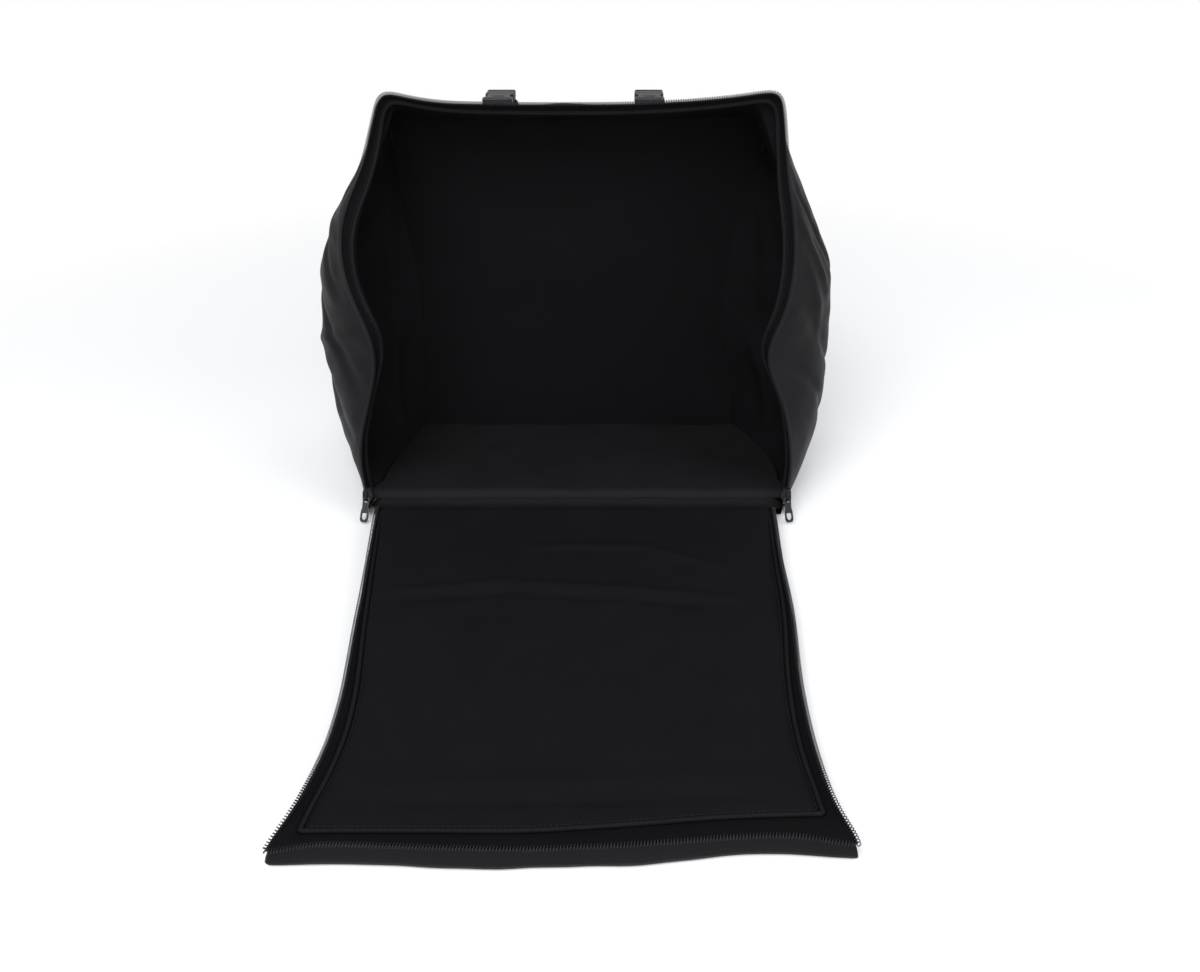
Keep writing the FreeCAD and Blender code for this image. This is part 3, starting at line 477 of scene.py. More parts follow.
def shell_wrinkles(s, w):
    """Folds of the outer skin, in metres; s runs round the three walls and w to the back."""
    run, deep = s * 1.26, w * 0.21
    total = noise_field(run, deep, 3, 0.12) * 0.0013 + noise_field(run, deep, 8, 0.035) * 0.0004
    for start, end, width, height in (
            ((0.08, 0.02), (0.20, 0.14), 0.0080, 0.0034), ((0.13, 0.01), (0.24, 0.09), 0.0065, 0.0034),
            ((0.19, 0.01), (0.17, 0.12), 0.0075, -0.0030), ((0.23, 0.02), (0.33, 0.08), 0.0070, 0.0030),
            ((0.05, 0.05), (0.10, 0.17), 0.0090, 0.0028), ((0.29, 0.02), (0.36, 0.15), 0.0080, -0.0026),
            ((0.33, 0.03), (0.42, 0.06), 0.0060, 0.0026), ((0.12, 0.12), (0.30, 0.18), 0.0100, 0.0028),
            ((0.90, 0.005), (1.02, 0.09), 0.0060, 0.0040), ((0.94, 0.005), (1.03, 0.06), 0.0050, -0.0028),
            ((0.99, 0.02), (1.09, 0.06), 0.0065, -0.0030), ((1.03, 0.01), (1.14, 0.12), 0.0080, 0.0032),
            ((1.10, 0.02), (1.19, 0.09), 0.0070, 0.0028), ((0.90, 0.10), (1.08, 0.17), 0.0100, 0.0026),
            ((0.50, 0.03), (0.78, 0.06), 0.0120, -0.0020), ((0.55, 0.14), (0.74, 0.10), 0.0130, 0.0020)):
        total += fold(run, deep, start, end, width, height)
    return total * np.clip(w * 14, 0, 1) * np.clip((1 - w) * 14, 0, 1)


def lining_wrinkles(s, w):
    """Slight waves of the lining, in metres."""
    run, deep = s * 1.2, w * 0.2
    total = noise_field(run, deep, 21, 0.12) * 0.0016
    for start, end, width, height in (
            ((0.03, 0.160), (0.15, 0.183), 0.0080, 0.0075), ((0.13, 0.184), (0.28, 0.178), 0.0090, 0.0060),
            ((1.16, 0.155), (1.06, 0.180), 0.0080, 0.0070), ((1.07, 0.165), (0.92, 0.172), 0.0080, 0.0045),
            ((1.13, 0.110), (1.04, 0.130), 0.0050, 0.0030), ((1.10, 0.090), (1.01, 0.100), 0.0050, -0.0025)):
        total += fold(run, deep, start, end, width, height)
    return total * np.clip(w * 8, 0, 1) * np.clip((1 - w) * 8, 0, 1)


DEPTHS = np.linspace(0, 1, 76)
outer_grid = wall_grid(DEPTHS, 0.001, shell_wrinkles)
outer = surface("case_skin", outer_grid, NYLON, "case")
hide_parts("left_side_outer", "right_side_outer", "top_outer",
            "left_side_foam", "right_side_foam", "top_foam")


# Zip tape, coil and binding of the mouth

TURN_LEFT = ([0, .10, .15, .19, .22, .32, .38, .42, .437, .45],
             [.85, .92, .97, .65, .15, .10, .35, .55, .76, .30])
TURN_RIGHT = ([0, .10, .13, .16, .19, .22, .32, .38, .42, .437, .45],
              [.85, .90, .97, .95, .65, .25, .25, .45, .55, .76, .30])


def rim_line(inset, out, count):
    """The mouth's three-sided line at an inset from the coil, out in front of it.

    The hem is limp: a share of a quarter turn, by height, turns it inwards from the mouth's own plane.
    """
    line, within = wall_line(0.0, 0.0), wall_line(0.0, 0.02)
    inwards = unit(within - line)
    turn = np.where(line[:, 0] < 0, smoothed_table(TURN_LEFT, line[:, 1], 0.012),
                    smoothed_table(TURN_RIGHT, line[:, 1], 0.012)) * math.pi / 2
    moved = line + inwards * (inset * np.cos(turn) + out * np.sin(turn))[:, None]
    points = section_point(moved[:, 0], moved[:, 1], 0.0, out * np.cos(turn) - inset * np.sin(turn))
    return evenly(points[line[:, 1] > 0.012], count)


def teeth(name, line, up, material, body, pitch=0.0024, wide=0.0021, high=0.0013, wire=0.00045):
    """The coil of a zip: a flattened spring along the line."""
    turns = int(length_of(line) / pitch)
    steps = 9
    path = evenly(line, turns * steps + 1)
    up = np.broadcast_to(np.asarray(up, float), line.shape)
    up_fine = np.stack([np.interp(np.linspace(0, 1, len(path)), np.linspace(0, 1, len(up)), up[:, n])
                        for n in range(3)], -1)
    along, side, rise = frames(path, up_fine)
    phase = np.arange(len(path))[:, None] * TAU / steps
    spring = path + side * np.cos(phase) * wide + rise * np.sin(phase) * high
    return swept(name, spring, circle(wire, 4), along, material, body)


def strip_between(name, first, second, lift, material, body, across=7):
    """A sheet between two lines, arched by lift along its own normal."""
    t = np.linspace(0, 1, across)[:, None, None]
    grid = first[None] * (1 - t) + second[None] * t
    normal = unit(np.cross(np.gradient(grid, axis=1), np.gradient(grid, axis=0)))
    return surface(name, grid + normal * (np.sin(np.pi * t) * lift), material, body)


MOUTH_FRONT = np.array([0, -math.cos(math.radians(LEANS[0])), math.sin(math.radians(LEANS[0]))])
RIM = 620
coil_line = rim_line(0.0, 0.001, RIM)
mouth_coil = teeth("mouth_coil", coil_line, MOUTH_FRONT, COIL, "case")
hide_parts("case_zip_coil")
tape_out, tape_in = rim_line(0.0015, 0.0006, RIM), rim_line(0.0115, 0.0012, RIM)
mouth_tape = strip_between("mouth_tape", tape_out, tape_in, 0.0010, TAPE, "case")
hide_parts("case_zip_tape")
cord_line = rim_line(0.0135, 0.0016, RIM)
binding = swept("mouth_binding_cord", cord_line, circle(0.0023, 10), MOUTH_FRONT, BINDING, "case")
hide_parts("mouth_binding")
HEM_OUTER, HEM_INNER = (0.0150, 0.0012), (0.0175, -0.003)
strip_between("mouth_hem", rim_line(*HEM_OUTER, RIM), rim_line(*HEM_INNER, RIM), 0.0008, LINING, "case")
LINING_INSET, LINING_TOP_INSET, LINING_ROUNDING = 0.0150, 0.0080, 3.4


def lining_grid():
    """Grid of the walls' lining: its first rows leave the hem and join the walls' own form."""
    walls = wall_grid(DEPTHS, LINING_INSET, lining_wrinkles, LINING_ROUNDING, LINING_TOP_INSET)
    first = rim_line(*HEM_INNER, walls.shape[1])
    join = np.clip(DEPTHS / 0.22, 0, 1)
    join = (join * join * (3 - 2 * join))[:, None, None]
    forward = walls - walls[:1] + first[None]
    return forward * (1 - join) + walls * join


inner = surface("case_lining", lining_grid(), LINING, "case", flip=True)
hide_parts("left_side_lining", "right_side_lining", "top_lining")
stitches("mouth_stitches", [(rim_line(0.0100, 0.0024, RIM), MOUTH_FRONT)], "case")


# Back wall, base and piping

def plate_grid(low, high, rows, columns, place):
    """Grid over the back; place turns x, up and the swell into points."""
    up = np.linspace(low, high, rows)[:, None] * np.ones((1, columns))
    x = np.linspace(-BACK_HALF, BACK_HALF, columns)[None, :] * np.ones((rows, 1))
    return place(x, up, back_relief(x, up))


def back_relief(x, up):
    """Soft outward swell of the back, in metres, falling to nothing at its edges."""
    edge = (np.clip((BACK_HALF - np.abs(x)) * 16, 0, 1) * np.clip(up * 16, 0, 1)
            * np.clip((BACK_TOP - up) * 16, 0, 1))
    return edge * (0.004 + 0.0012 * noise_field(x, up, 5, 0.14))


def back_place(line, x, up, out):
    """Points of a sheet across the back that keeps to an outline of the walls, up to its top corners."""
    middle = len(line) // 2
    rising = [part[:np.argmax(part[:, 1]) + 1] for part in (line[:middle], line[middle:][::-1])]
    left, right = [np.interp(up, part[:, 1], part[:, 0]) for part in rising]
    share = (x / BACK_HALF + 1) / 2
    dip = DIP_SHARES[2] * smoothed_table(TOP_DIP, share, 0.03) * np.clip((up - 0.3) / 0.09, 0, 1) ** 2
    return section_point(left * (1 - share) + right * share, up - dip, 1.0, out)


def back_skin_place(x, up, relief):
    """Points of the back's outer skin."""
    return back_place(wall_line(1.0, 0.0), x, up, SKIN_BEHIND - relief)


back = surface("back_skin", plate_grid(0.0004, 0.3957, 160, 120, back_skin_place), NYLON, "case")
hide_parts("back_outer", "back_foam")


def back_lining_place(x, up, relief):
    """Points of the back's lining, which reaches past the walls' own."""
    return back_place(wall_line(1.0, 0.0120, rounding=3.2, top_inset=0.0050), x, up,
                      -0.0012 + 0.6 * relief + 0.008 * np.exp(-(up / 0.06) ** 2))


back_inside = surface("back_lining_cloth", plate_grid(0.004, 0.3907, 110, 90, back_lining_place), LINING,
                      "case", flip=True)
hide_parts("back_lining")


def back_line(inset, out, count):
    """The back's three-sided outline, moved in by inset and out behind it."""
    line = wall_line(1.0, inset)
    return evenly(section_point(line[:, 0], line[:, 1], 1.0, out), count)


piping = swept("back_piping_cord", back_line(-0.0012, -0.0046, 500), circle(0.0024, 10), (0, 1, 0.03),
               BINDING, "case")
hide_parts("back_piping")
strip_between("back_edge", back_line(0.006, 0.0, 300), back_line(-0.0004, SKIN_BEHIND, 300), 0.001,
              NYLON, "case")


def floor_grid(z, inset, front, back_end, relief):
    """Grid over the base between the side walls, rows from the front to the back.

    Near its front edge the inner floor widens, to lie under the hem.
    """
    rows, columns = 60, 120
    y = np.linspace(front, back_end, rows)[:, None] * np.ones((1, columns))
    w = np.clip((y + HALF_DEPTH) / (2 * HALF_DEPTH), 0, 1)
    share = np.full_like(y, 0.02)
    reach = inset - 0.012 * (z > 0) * np.clip((-0.058 - y) / 0.022, 0, 1)
    left = side_half(-1, share, w, reach)
    right = side_half(1, share, w, reach)
    t = np.linspace(0, 1, columns)[None, :]
    x = -left * (1 - t) + right * t
    return np.stack([x, y, z + relief(x, y)], -1)


FLOOR_FRONT_Y = -0.0860


def floor_relief(x, y):
    """The padded floor swells towards its front edge and rounds down to the hinge, in metres."""
    edge = np.clip((y - FLOOR_FRONT_Y) / 0.009, 0, 1)
    swell = np.clip((0.06 - y) / 0.15, 0, 1)
    return (0.0115 * swell ** 2 * (3 - 2 * swell) - 0.0075 * (1 - np.sqrt(1 - (1 - edge) ** 2))
            + noise_field(x, y, 31, 0.13) * 0.0007)


floor_inside = surface("base_lining_cloth", floor_grid(0.0095, 0.014, FLOOR_FRONT_Y, 0.0985, floor_relief),
                       FLOOR_CLOTH, "case")
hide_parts("base_lining", "base_board")
base = surface("base_skin", floor_grid(0.0, 0.006, -HALF_DEPTH, 0.1066, lambda x, y: 0 * x), NYLON, "case",
               flip=True)
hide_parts("base_outer")


# Front panel laid forward on the ground

PANEL_LEFT = ([0, .05, .10, .15, .20, .25, .30, .35, .38, .42],
              [-.215, -.209, -.203, -.196, -.190, -.182, -.176, -.176, -.181, -.189])
PANEL_RIGHT = ([0, .05, .10, .15, .20, .25, .30, .35, .38, .42],
               [.211, .209, .2065, .2065, .204, .198, .195, .195, .198, .205])
SEAM_END = ([-.20, -.12, -.02, .06, .12, .16, .20], [.4305, .4300, .4305, .4243, .4180, .4160, .4145])
COIL_END = ([-.20, -.12, -.02, .06, .12, .16, .20], [.4455, .4490, .4513, .4482, .4420, .4384, .4405])
PANEL_EDGE_Y = -0.1080
PANEL_REACH = 0.42
SEAM_Z, PANEL_LINING_Z, PANEL_CORD_Z = 0.0118, 0.0128, 0.0132


def panel_outline(t, inset=0.0):
    """Left and right x of the panel's seam at a distance from its hinge edge."""
    return smoothed_table(PANEL_LEFT, t, 0.03) + inset, smoothed_table(PANEL_RIGHT, t, 0.03) - inset


def panel_end(x, table=SEAM_END):
    """How far the seam (or the coil) across the free end lies from the hinge edge at a given x."""
    return smoothed_table(table, x, 0.02)


def panel_relief(x, t):
    """Folds and waves of the panel's lining, in metres."""
    total = noise_field(x, t, 41, 0.16) * 0.0012 + noise_field(x, t, 47, 0.05) * 0.0003
    for start, end, width, height in (
            ((-.040, .070), (.080, .072), .0060, .0030), ((.070, .072), (.165, .112), .0070, .0030),
            ((-.190, .150), (-.060, .128), .0080, .0036), ((-.080, .130), (.160, .156), .0080, .0036),
            ((-.180, .160), (-.060, .139), .0070, -.0022), ((-.080, .140), (.160, .167), .0070, -.0022),
            ((-.150, .385), (.160, .378), .0090, .0024), ((-.160, .402), (.170, .396), .0060, -.0022),
            ((-.160, .260), (-.120, .360), .0140, .0018), ((.150, .240), (.120, .350), .0140, .0018)):
        total += fold(x, t, start, end, width, height)
    return total


def panel_grid(rows, columns, inset, height, relief):
    """Grid over the panel, rows from the hinge to the free end."""
    share = np.linspace(0, 1, rows)[:, None] * np.ones((1, columns))
    left, right = panel_outline(share * PANEL_REACH, inset)
    across = np.linspace(0, 1, columns)[None, :]
    x = left * (1 - across) + right * across
    t = inset + share * (panel_end(x) - 2 * inset)
    edge = np.minimum(np.minimum(x - left, right - x), np.minimum(t - inset, panel_end(x) - inset - t))
    roll = np.clip(edge / 0.012, 0, 1)
    drop = 0.004 * (1 - np.sqrt(np.clip(1 - (1 - roll) ** 2, 0, 1)))
    z = height - drop + relief(x, t) * np.clip(roll * 1.5, 0, 1) + 0.0065 * np.exp(-t / 0.03)
    return np.stack([x, PANEL_EDGE_Y - t, z], -1)


panel_top = surface("panel_lining_cloth", panel_grid(170, 150, 0.0, PANEL_LINING_Z, panel_relief),
                    LINING, "front_panel", flip=True)
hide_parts("panel_lining", "panel_foam")


def panel_rim(inset, z, count=420, end_inset=None, ear=0.0, table=SEAM_END):
    """Three-sided line round the panel's free edges: left side, free end, right side.

    z is a height, or a function of the way out to the free end, of the corners and of the run.
    ear widens the line at its two outer corners.
    """
    t = np.linspace(0.004, 1, 120)
    left, right = panel_outline(t * PANEL_REACH, inset)
    beyond = inset if end_inset is None else end_inset
    ends = [panel_end(left[-1], table) - beyond, panel_end(right[-1], table) - beyond]
    left_side = np.stack([left, t * ends[0]], -1)
    right_side = np.stack([right, t * ends[1]], -1)[::-1]
    x = np.linspace(left[-1], right[-1], 120)[1:-1]
    line = np.vstack([left_side, np.stack([x, panel_end(x, table) - beyond], -1), right_side])
    line = evenly(np.hstack([line, np.zeros((len(line), 1))]), count)
    corners = [np.exp(-(np.hypot(line[:, 0] - left[-1], line[:, 1] - ends[0]) / 0.022) ** 2),
               np.exp(-(np.hypot(line[:, 0] - right[-1], line[:, 1] - ends[1]) / 0.022) ** 2)]
    line[:, 0] += ear * (corners[1] - corners[0])
    line[:, 1] += ear * 0.25 * (corners[0] + corners[1])
    far = np.clip((line[:, 1] - 0.05) / 0.35, 0, 1)
    lift = np.full(count, z) if not callable(z) else z(
        far, corners[0] + 0.7 * corners[1], np.linspace(0, 1, count))
    return np.stack([line[:, 0], PANEL_EDGE_Y - line[:, 1], lift], -1)


def lip(share):
    """Line of the zip's tape, from the seam (0) to the coil (1), with its outward flare."""
    seam = panel_rim(0.0, SEAM_Z)
    flare = panel_rim(-0.010, lambda far, corner, run: 0.0160 + 0.0052 * far - 0.007 * corner
                      + 0.0006 * np.sin(run * 37), end_inset=0.0, ear=0.009, table=COIL_END)
    near = panel_rim(-0.0035, lambda far, corner, run: 0.0165 + 0.002 * far)
    far = np.clip((PANEL_EDGE_Y - seam[:, 1] - 0.10) / 0.28, 0, 1)[:, None]
    outer_line = near * (1 - far) + flare * far
    bow = np.array([0, 0, 1]) * 0.0016 * math.sin(math.pi * share)
    return seam * (1 - share) + outer_line * share + bow


panel_tape = surface("panel_tape", np.array([lip(s) for s in np.linspace(0, 1, 8)]), TAPE, "front_panel")
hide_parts("panel_zip_tape")
panel_coil = teeth("panel_coil", lip(1.0), (0, 0, 1), COIL, "front_panel")
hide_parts("panel_zip_coil")
panel_cord = swept("panel_binding_cord", panel_rim(0.0012, PANEL_CORD_Z), circle(0.0021, 10),
                   (0, 0, 1), BINDING, "front_panel")
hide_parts("panel_binding")
stitches("panel_stitches", [(panel_rim(0.0050, PANEL_CORD_Z), (0, 0, 1))], "front_panel")
ON_GROUND = 0.0003


def panel_wall():
    """Outer skin below the lip: down to the ground and in under the seam, as rows of lines."""
    top = lip(0.92) - np.array([0, 0, 0.0012])
    seam = panel_rim(0.0, 0.0)
    outward = unit((top - seam) * np.array([1, 1, 0]) + 1e-9)
    waves = noise_field(np.linspace(0, 1.2, len(top)), np.zeros(len(top)), 61, 0.08)[:, None]
    reach = np.linalg.norm((top - seam)[:, :2], axis=1)[:, None]
    rows = [top]
    for down, out in ((0.25, 0.0012), (0.5, 0.0030), (0.75, 0.0040), (0.92, 0.0034), (1.0, 0.0010)):
        line = seam + outward * (reach + out + 0.0008 * waves)
        line[:, 2] = top[:, 2] * (1 - down) + ON_GROUND
        rows.append(line)
    rows.append(panel_rim(0.006, ON_GROUND))
    return np.array(rows)


panel_skin = surface("panel_skin", panel_wall(), NYLON, "front_panel")
underside = panel_grid(60, 60, 0.001, 0.0, lambda x, t: 0 * x) * (1, 1, 0) + (0, 0, ON_GROUND + 0.0005)
surface("panel_underside", underside, NYLON, "front_panel")
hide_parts("panel_outer")


MOUTH_FOOT_HALF = 0.2310


def hinge_grid():
    """Fabric from the foot of the mouth over to the panel's edge, with a shallow dip."""
    rows, columns = 24, 160
    t = np.linspace(0, 1, rows)[:, None] * np.ones((1, columns))
    left, right = panel_outline(np.zeros(1))
    across = np.linspace(0, 1, columns)[None, :]
    first = -MOUTH_FOOT_HALF * (1 - t) + (left[0] - 0.004) * t
    last = MOUTH_FOOT_HALF * (1 - t) + (right[0] + 0.008) * t
    x = first * (1 - across) + last * across
    y = (FLOOR_FRONT_Y + 0.001) * (1 - t) + (PANEL_EDGE_Y - 0.003) * t
    z = 0.0140 * (1 - t) + 0.0170 * t - 0.0030 * np.sin(np.pi * t) ** 2
    z = z + noise_field(x, y, 71, 0.06) * 0.0006 - 0.0100 * np.clip((np.abs(x) - 0.214) / 0.016, 0, 1) ** 2
    return np.stack([x, y, z], -1)


hinge = surface("hinge_cloth", hinge_grid(), FLOOR_CLOTH, None, flip=True)
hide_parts("hinge_strip")
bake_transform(hinge)


# Flat moulded pieces: outlines with holes, given a thickness and a rounded edge

def rounded(points, radius, steps=4):
    """A closed outline with its corners rounded."""
    p = [np.array(q, float) for q in points]
    line = []
    for before, here, after in zip(p[-1:] + p[:-1], p, p[1:] + p[:1]):
        r = min(radius, 0.48 * np.linalg.norm(before - here), 0.48 * np.linalg.norm(after - here))
        first = here + unit(before - here) * r
        last = here + unit(after - here) * r
        for t in np.linspace(0, 1, steps + 1):
            line.append(first * (1 - t) ** 2 + 2 * here * t * (1 - t) + last * t * t)
    return line


def oblong(x, y, width, height, radius):
    """A rounded rectangle round a point."""
    a, b = width / 2, height / 2
    return rounded([(x + a, y + b), (x - a, y + b), (x - a, y - b), (x + a, y - b)], radius)


def mirrored(points):
    """Outline from its right half, from bottom to top."""
    return list(points) + [(-x, y) for x, y in reversed(points)]


def plate(outlines, low, high, edge):
    """Points and faces of a plate: the first outline is its edge and the others are holes."""
    curve = bpy.data.curves.new("plate", "CURVE")
    curve.dimensions = "2D"
    curve.fill_mode = "BOTH"
    curve.extrude = (high - low) / 2 - edge
    curve.bevel_depth = edge
    curve.bevel_resolution = 2
    curve.offset = -edge
    for outline in outlines:
        spline = curve.splines.new("POLY")
        spline.points.add(len(outline) - 1)
        spline.points.foreach_set("co", [c for x, y in outline for c in (x, y, 0, 1)])
        spline.use_cyclic_u = True
    holder = bpy.data.objects.new("plate", curve)
    mesh = bpy.data.meshes.new_from_object(holder)
    bpy.data.objects.remove(holder)
    mesh.transform(Matrix.Translation((0, 0, (low + high) / 2)))
    points = [tuple(v.co) for v in mesh.vertices]
    faces = [tuple(f.vertices) for f in mesh.polygons]
    bpy.data.meshes.remove(mesh)
    return points, faces


def tube(line, radius, sides, flat, up):
    """Points and faces of a closed tube along a line."""
    _, side, rise = frames(np.asarray(line, float), up)
    ring = circle(radius, sides, flat)
    rings = np.asarray(line)[:, None] + side[:, None] * ring[None, :, :1] + rise[:, None] * ring[None, :, 1:]
    faces = [tuple(f) for f in grid_faces(len(line), sides, wrap=True)]
    faces += [tuple(range(sides))[::-1], tuple((len(line) - 1) * sides + n for n in range(sides))]
    return [tuple(p) for p in rings.reshape(-1, 3)], faces


def hard_piece(name, parts, place, material, body, slot_name, *nodes):
    """One object from several parts, put in place, with crisp edges; it stands for CAD nodes."""
    points, faces = [], []
    for part_points, part_faces in parts:
        start = len(points)
        points += [tuple(place @ Vector(p)) for p in part_points]
        faces += [tuple(i + start for i in f) for f in part_faces]
    made = mesh_object(name, points, faces, material, None)
    made.data.set_sharp_from_angle(angle=math.radians(38))
    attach(made, body)
    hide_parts(*nodes)
    return made


def frame_matrix(origin, x_axis, y_axis, z_axis):
    """Matrix that puts local axes along the three directions at a point."""
    made = Matrix.Identity(4)
    for column, axis in enumerate((x_axis, y_axis, z_axis, origin)):
        for row in range(3):
            made[row][column] = axis[row]
    return made


JOINTS = {j["name"]: j for j in frame["joints"]}


def zip_axes(side_name):
    """Slider's centre and its across, up and forward directions, from the joints."""
    up = Vector(JOINTS[side_name + "_zip_run"]["axis"]).normalized()
    across = -Vector(JOINTS[side_name + "_pull_swing"]["axis"]).normalized()
    inward = up.cross(across)
    pivot = Vector(JOINTS[side_name + "_pull_swing"]["pos_m"])
    return pivot, pivot + inward * 0.0049 + up * 0.0022, across, up, -inward


def zip_slider(side_name, side):
    """Enamelled slider: two shield-shaped plates, the side wall and the bail for the pull."""
    _, centre, across, up, forward = zip_axes(side_name)
    place = frame_matrix(centre, across, up, forward)
    shield = [(side * x, y) for x, y in ((-0.0062, -0.0040), (-0.0040, -0.0069), (0.0034, -0.0069),
                                        (0.0047, -0.0045), (0.0047, 0.0050), (0.0030, 0.0069),
                                        (-0.0030, 0.0069), (-0.0062, 0.0030))]
    parts = [plate([rounded(shield, 0.0012)], 0.0025, 0.0039, 0.00035),
             plate([rounded([(x * 0.8, y) for x, y in shield], 0.0012)], -0.0039, -0.0025, 0.00035),
             plate([oblong(side * 0.0036, 0, 0.0020, 0.0120, 0.0006)], -0.0027, 0.0027, 0.0002)]
    arch = smooth_line([(0, -0.0040, 0.0035), (0, -0.0040, 0.0058), (0, -0.0028, 0.0069), (0, 0.0028, 0.0069),
                        (0, 0.0040, 0.0058), (0, 0.0040, 0.0035)], 26)
    parts.append(tube(arch, 0.0013, 8, 0.55, (1, 0, 0)))
    hard_piece(side_name + "_slider_body", parts, place, ENAMEL, side_name + "_slider",
               "slider_metal", side_name + "_zip_slider")


def zip_pull(side_name):
    """Pull tab: a slim neck with an eye, a raised bar on the neck and a D-shaped window at its tip."""
    pivot, _, across, up, forward = zip_axes(side_name)
    swing = math.radians(30)
    down = -up * math.cos(swing) + forward * math.sin(swing)
    face = forward * math.cos(swing) + up * math.sin(swing)
    place = frame_matrix(pivot, across, -down, face)
    outline = rounded(mirrored([(0.0029, -0.0268), (0.0044, -0.0245), (0.0044, -0.0150), (0.0034, -0.0115),
                                (0.0038, -0.0040), (0.0042, 0.0008)]), 0.0016)
    eye = oblong(0, -0.0028, 0.0044, 0.0040, 0.0012)[::-1]
    window = rounded([(0.0024, -0.0168), (-0.0024, -0.0168), (-0.0024, -0.0222), (0, -0.0250),
                      (0.0024, -0.0222)], 0.0012)[::-1]
    parts = [plate([outline, eye, window], -0.0008, 0.0008, 0.00028),
             plate([oblong(0, -0.0100, 0.0020, 0.0080, 0.0008)], 0.0004, 0.00135, 0.0003)]
    hard_piece(side_name + "_pull_tab", parts, place, ENAMEL, side_name + "_pull", "slider_metal",
               side_name + "_zip_pull")


for side_name, side in (("left", -1), ("right", 1)):
    zip_slider(side_name, side)
    zip_pull(side_name)


# Buckles on the top: x across, y backwards and z up from the socket's front lower edge

BUCKLE_Y, BUCKLE_Z, STRAP_X = 0.02713, 0.4147, 0.078
PLUG_Y = 0.0324


def buckle(side_name, side):
    """Side-release buckle: a socket with waisted sides, and a plug with two sprung arms."""
    place = Matrix.Translation((side * STRAP_X, BUCKLE_Y, BUCKLE_Z))
    slot_hole = oblong(0, 0.0055, 0.0258, 0.0046, 0.0012)[::-1]
    cover = rounded(mirrored([(0.0138, 0.0), (0.0155, 0.0030), (0.0155, 0.0110), (0.0118, 0.0140),
                              (0.0116, 0.0235), (0.0150, 0.0265), (0.0148, 0.0319)]), 0.0020)
    hollow_front = rounded(mirrored([(0.0130, 0.0100), (0.0104, 0.0140), (0.0104, 0.0232), (0.0130, 0.0262),
                                     (0.0130, 0.0310)]), 0.0012)[::-1]
    parts = [plate([cover, slot_hole], 0.0066, 0.0088, 0.0008),
             plate([cover, slot_hole], 0.0002, 0.0024, 0.0008),
             plate([cover, slot_hole, hollow_front], 0.0018, 0.0072, 0.0003),
             plate([oblong(0, 0.0190, 0.0120, 0.0085, 0.0020)], 0.0084, 0.0093, 0.0004)]
    hard_piece(side_name + "_socket", parts, place, PLASTIC, "case", "buckle_plastic",
               side_name + "_buckle_socket")
    base = PLUG_Y
    body = rounded(mirrored([(0.0149, base), (0.0155, base + 0.0030), (0.0135, base + 0.0085),
                             (0.0152, base + 0.0130), (0.0145, base + 0.0180)]), 0.0022)
    web_hole = oblong(0, base + 0.0125, 0.0256, 0.0044, 0.0012)[::-1]
    parts = [plate([body, web_hole], 0.0004, 0.0086, 0.0014)]
    for x in (-1, 1):
        arm = rounded([(x * 0.0128, base + 0.001), (x * 0.0084, base + 0.001), (x * 0.0078, base - 0.0215),
                       (x * 0.0098, base - 0.0215), (x * 0.0136, base - 0.0165), (x * 0.0140, base - 0.0090),
                       (x * 0.0112, base - 0.0060)], 0.0012)
        parts.append(plate([arm if x < 0 else arm[::-1]], 0.0026, 0.0064, 0.0006))
    parts.append(plate([oblong(0, base - 0.0100, 0.0046, 0.0220, 0.0016)], 0.0026, 0.0064, 0.0006))
    hard_piece(side_name + "_plug", parts, place, PLASTIC, side_name + "_plug", "buckle_plastic",
               side_name + "_buckle_plug")


# Straps: webs, padded shoulder parts, adjusters and tabs

BACK_LEAN = math.radians(LEANS[2])
BACK_UP = np.array([0, math.sin(BACK_LEAN), math.cos(BACK_LEAN)])
BACK_OUT = np.array([0, math.cos(BACK_LEAN), -math.sin(BACK_LEAN)])
PAD_LOW, PAD_LENGTH, PAD_HALF, QUILT_X = 0.126, 0.210, 0.031, 0.0245
WEB_WIDTH, WEB_THICK, WEB_DEPTH = 0.025, 0.0015, 0.0181
TAB_LOW = 0.004
SIDE_COLUMNS = 140


def on_back(x, up, depth):
    """A point some way up the back and behind the back section."""
    return np.array([x, HALF_DEPTH, 0.0]) + BACK_UP * up + BACK_OUT * depth


def top_height(x, y):
    """Height of the visible top skin at a place, from the shell's own grid."""
    grid = outer_grid[:, SIDE_COLUMNS:-SIDE_COLUMNS]
    flat = grid.reshape(-1, 3)
    near = np.argsort((flat[:, 0] - x) ** 2 + (flat[:, 1] - y) ** 2)[:4]
    return float(flat[near, 2].mean())


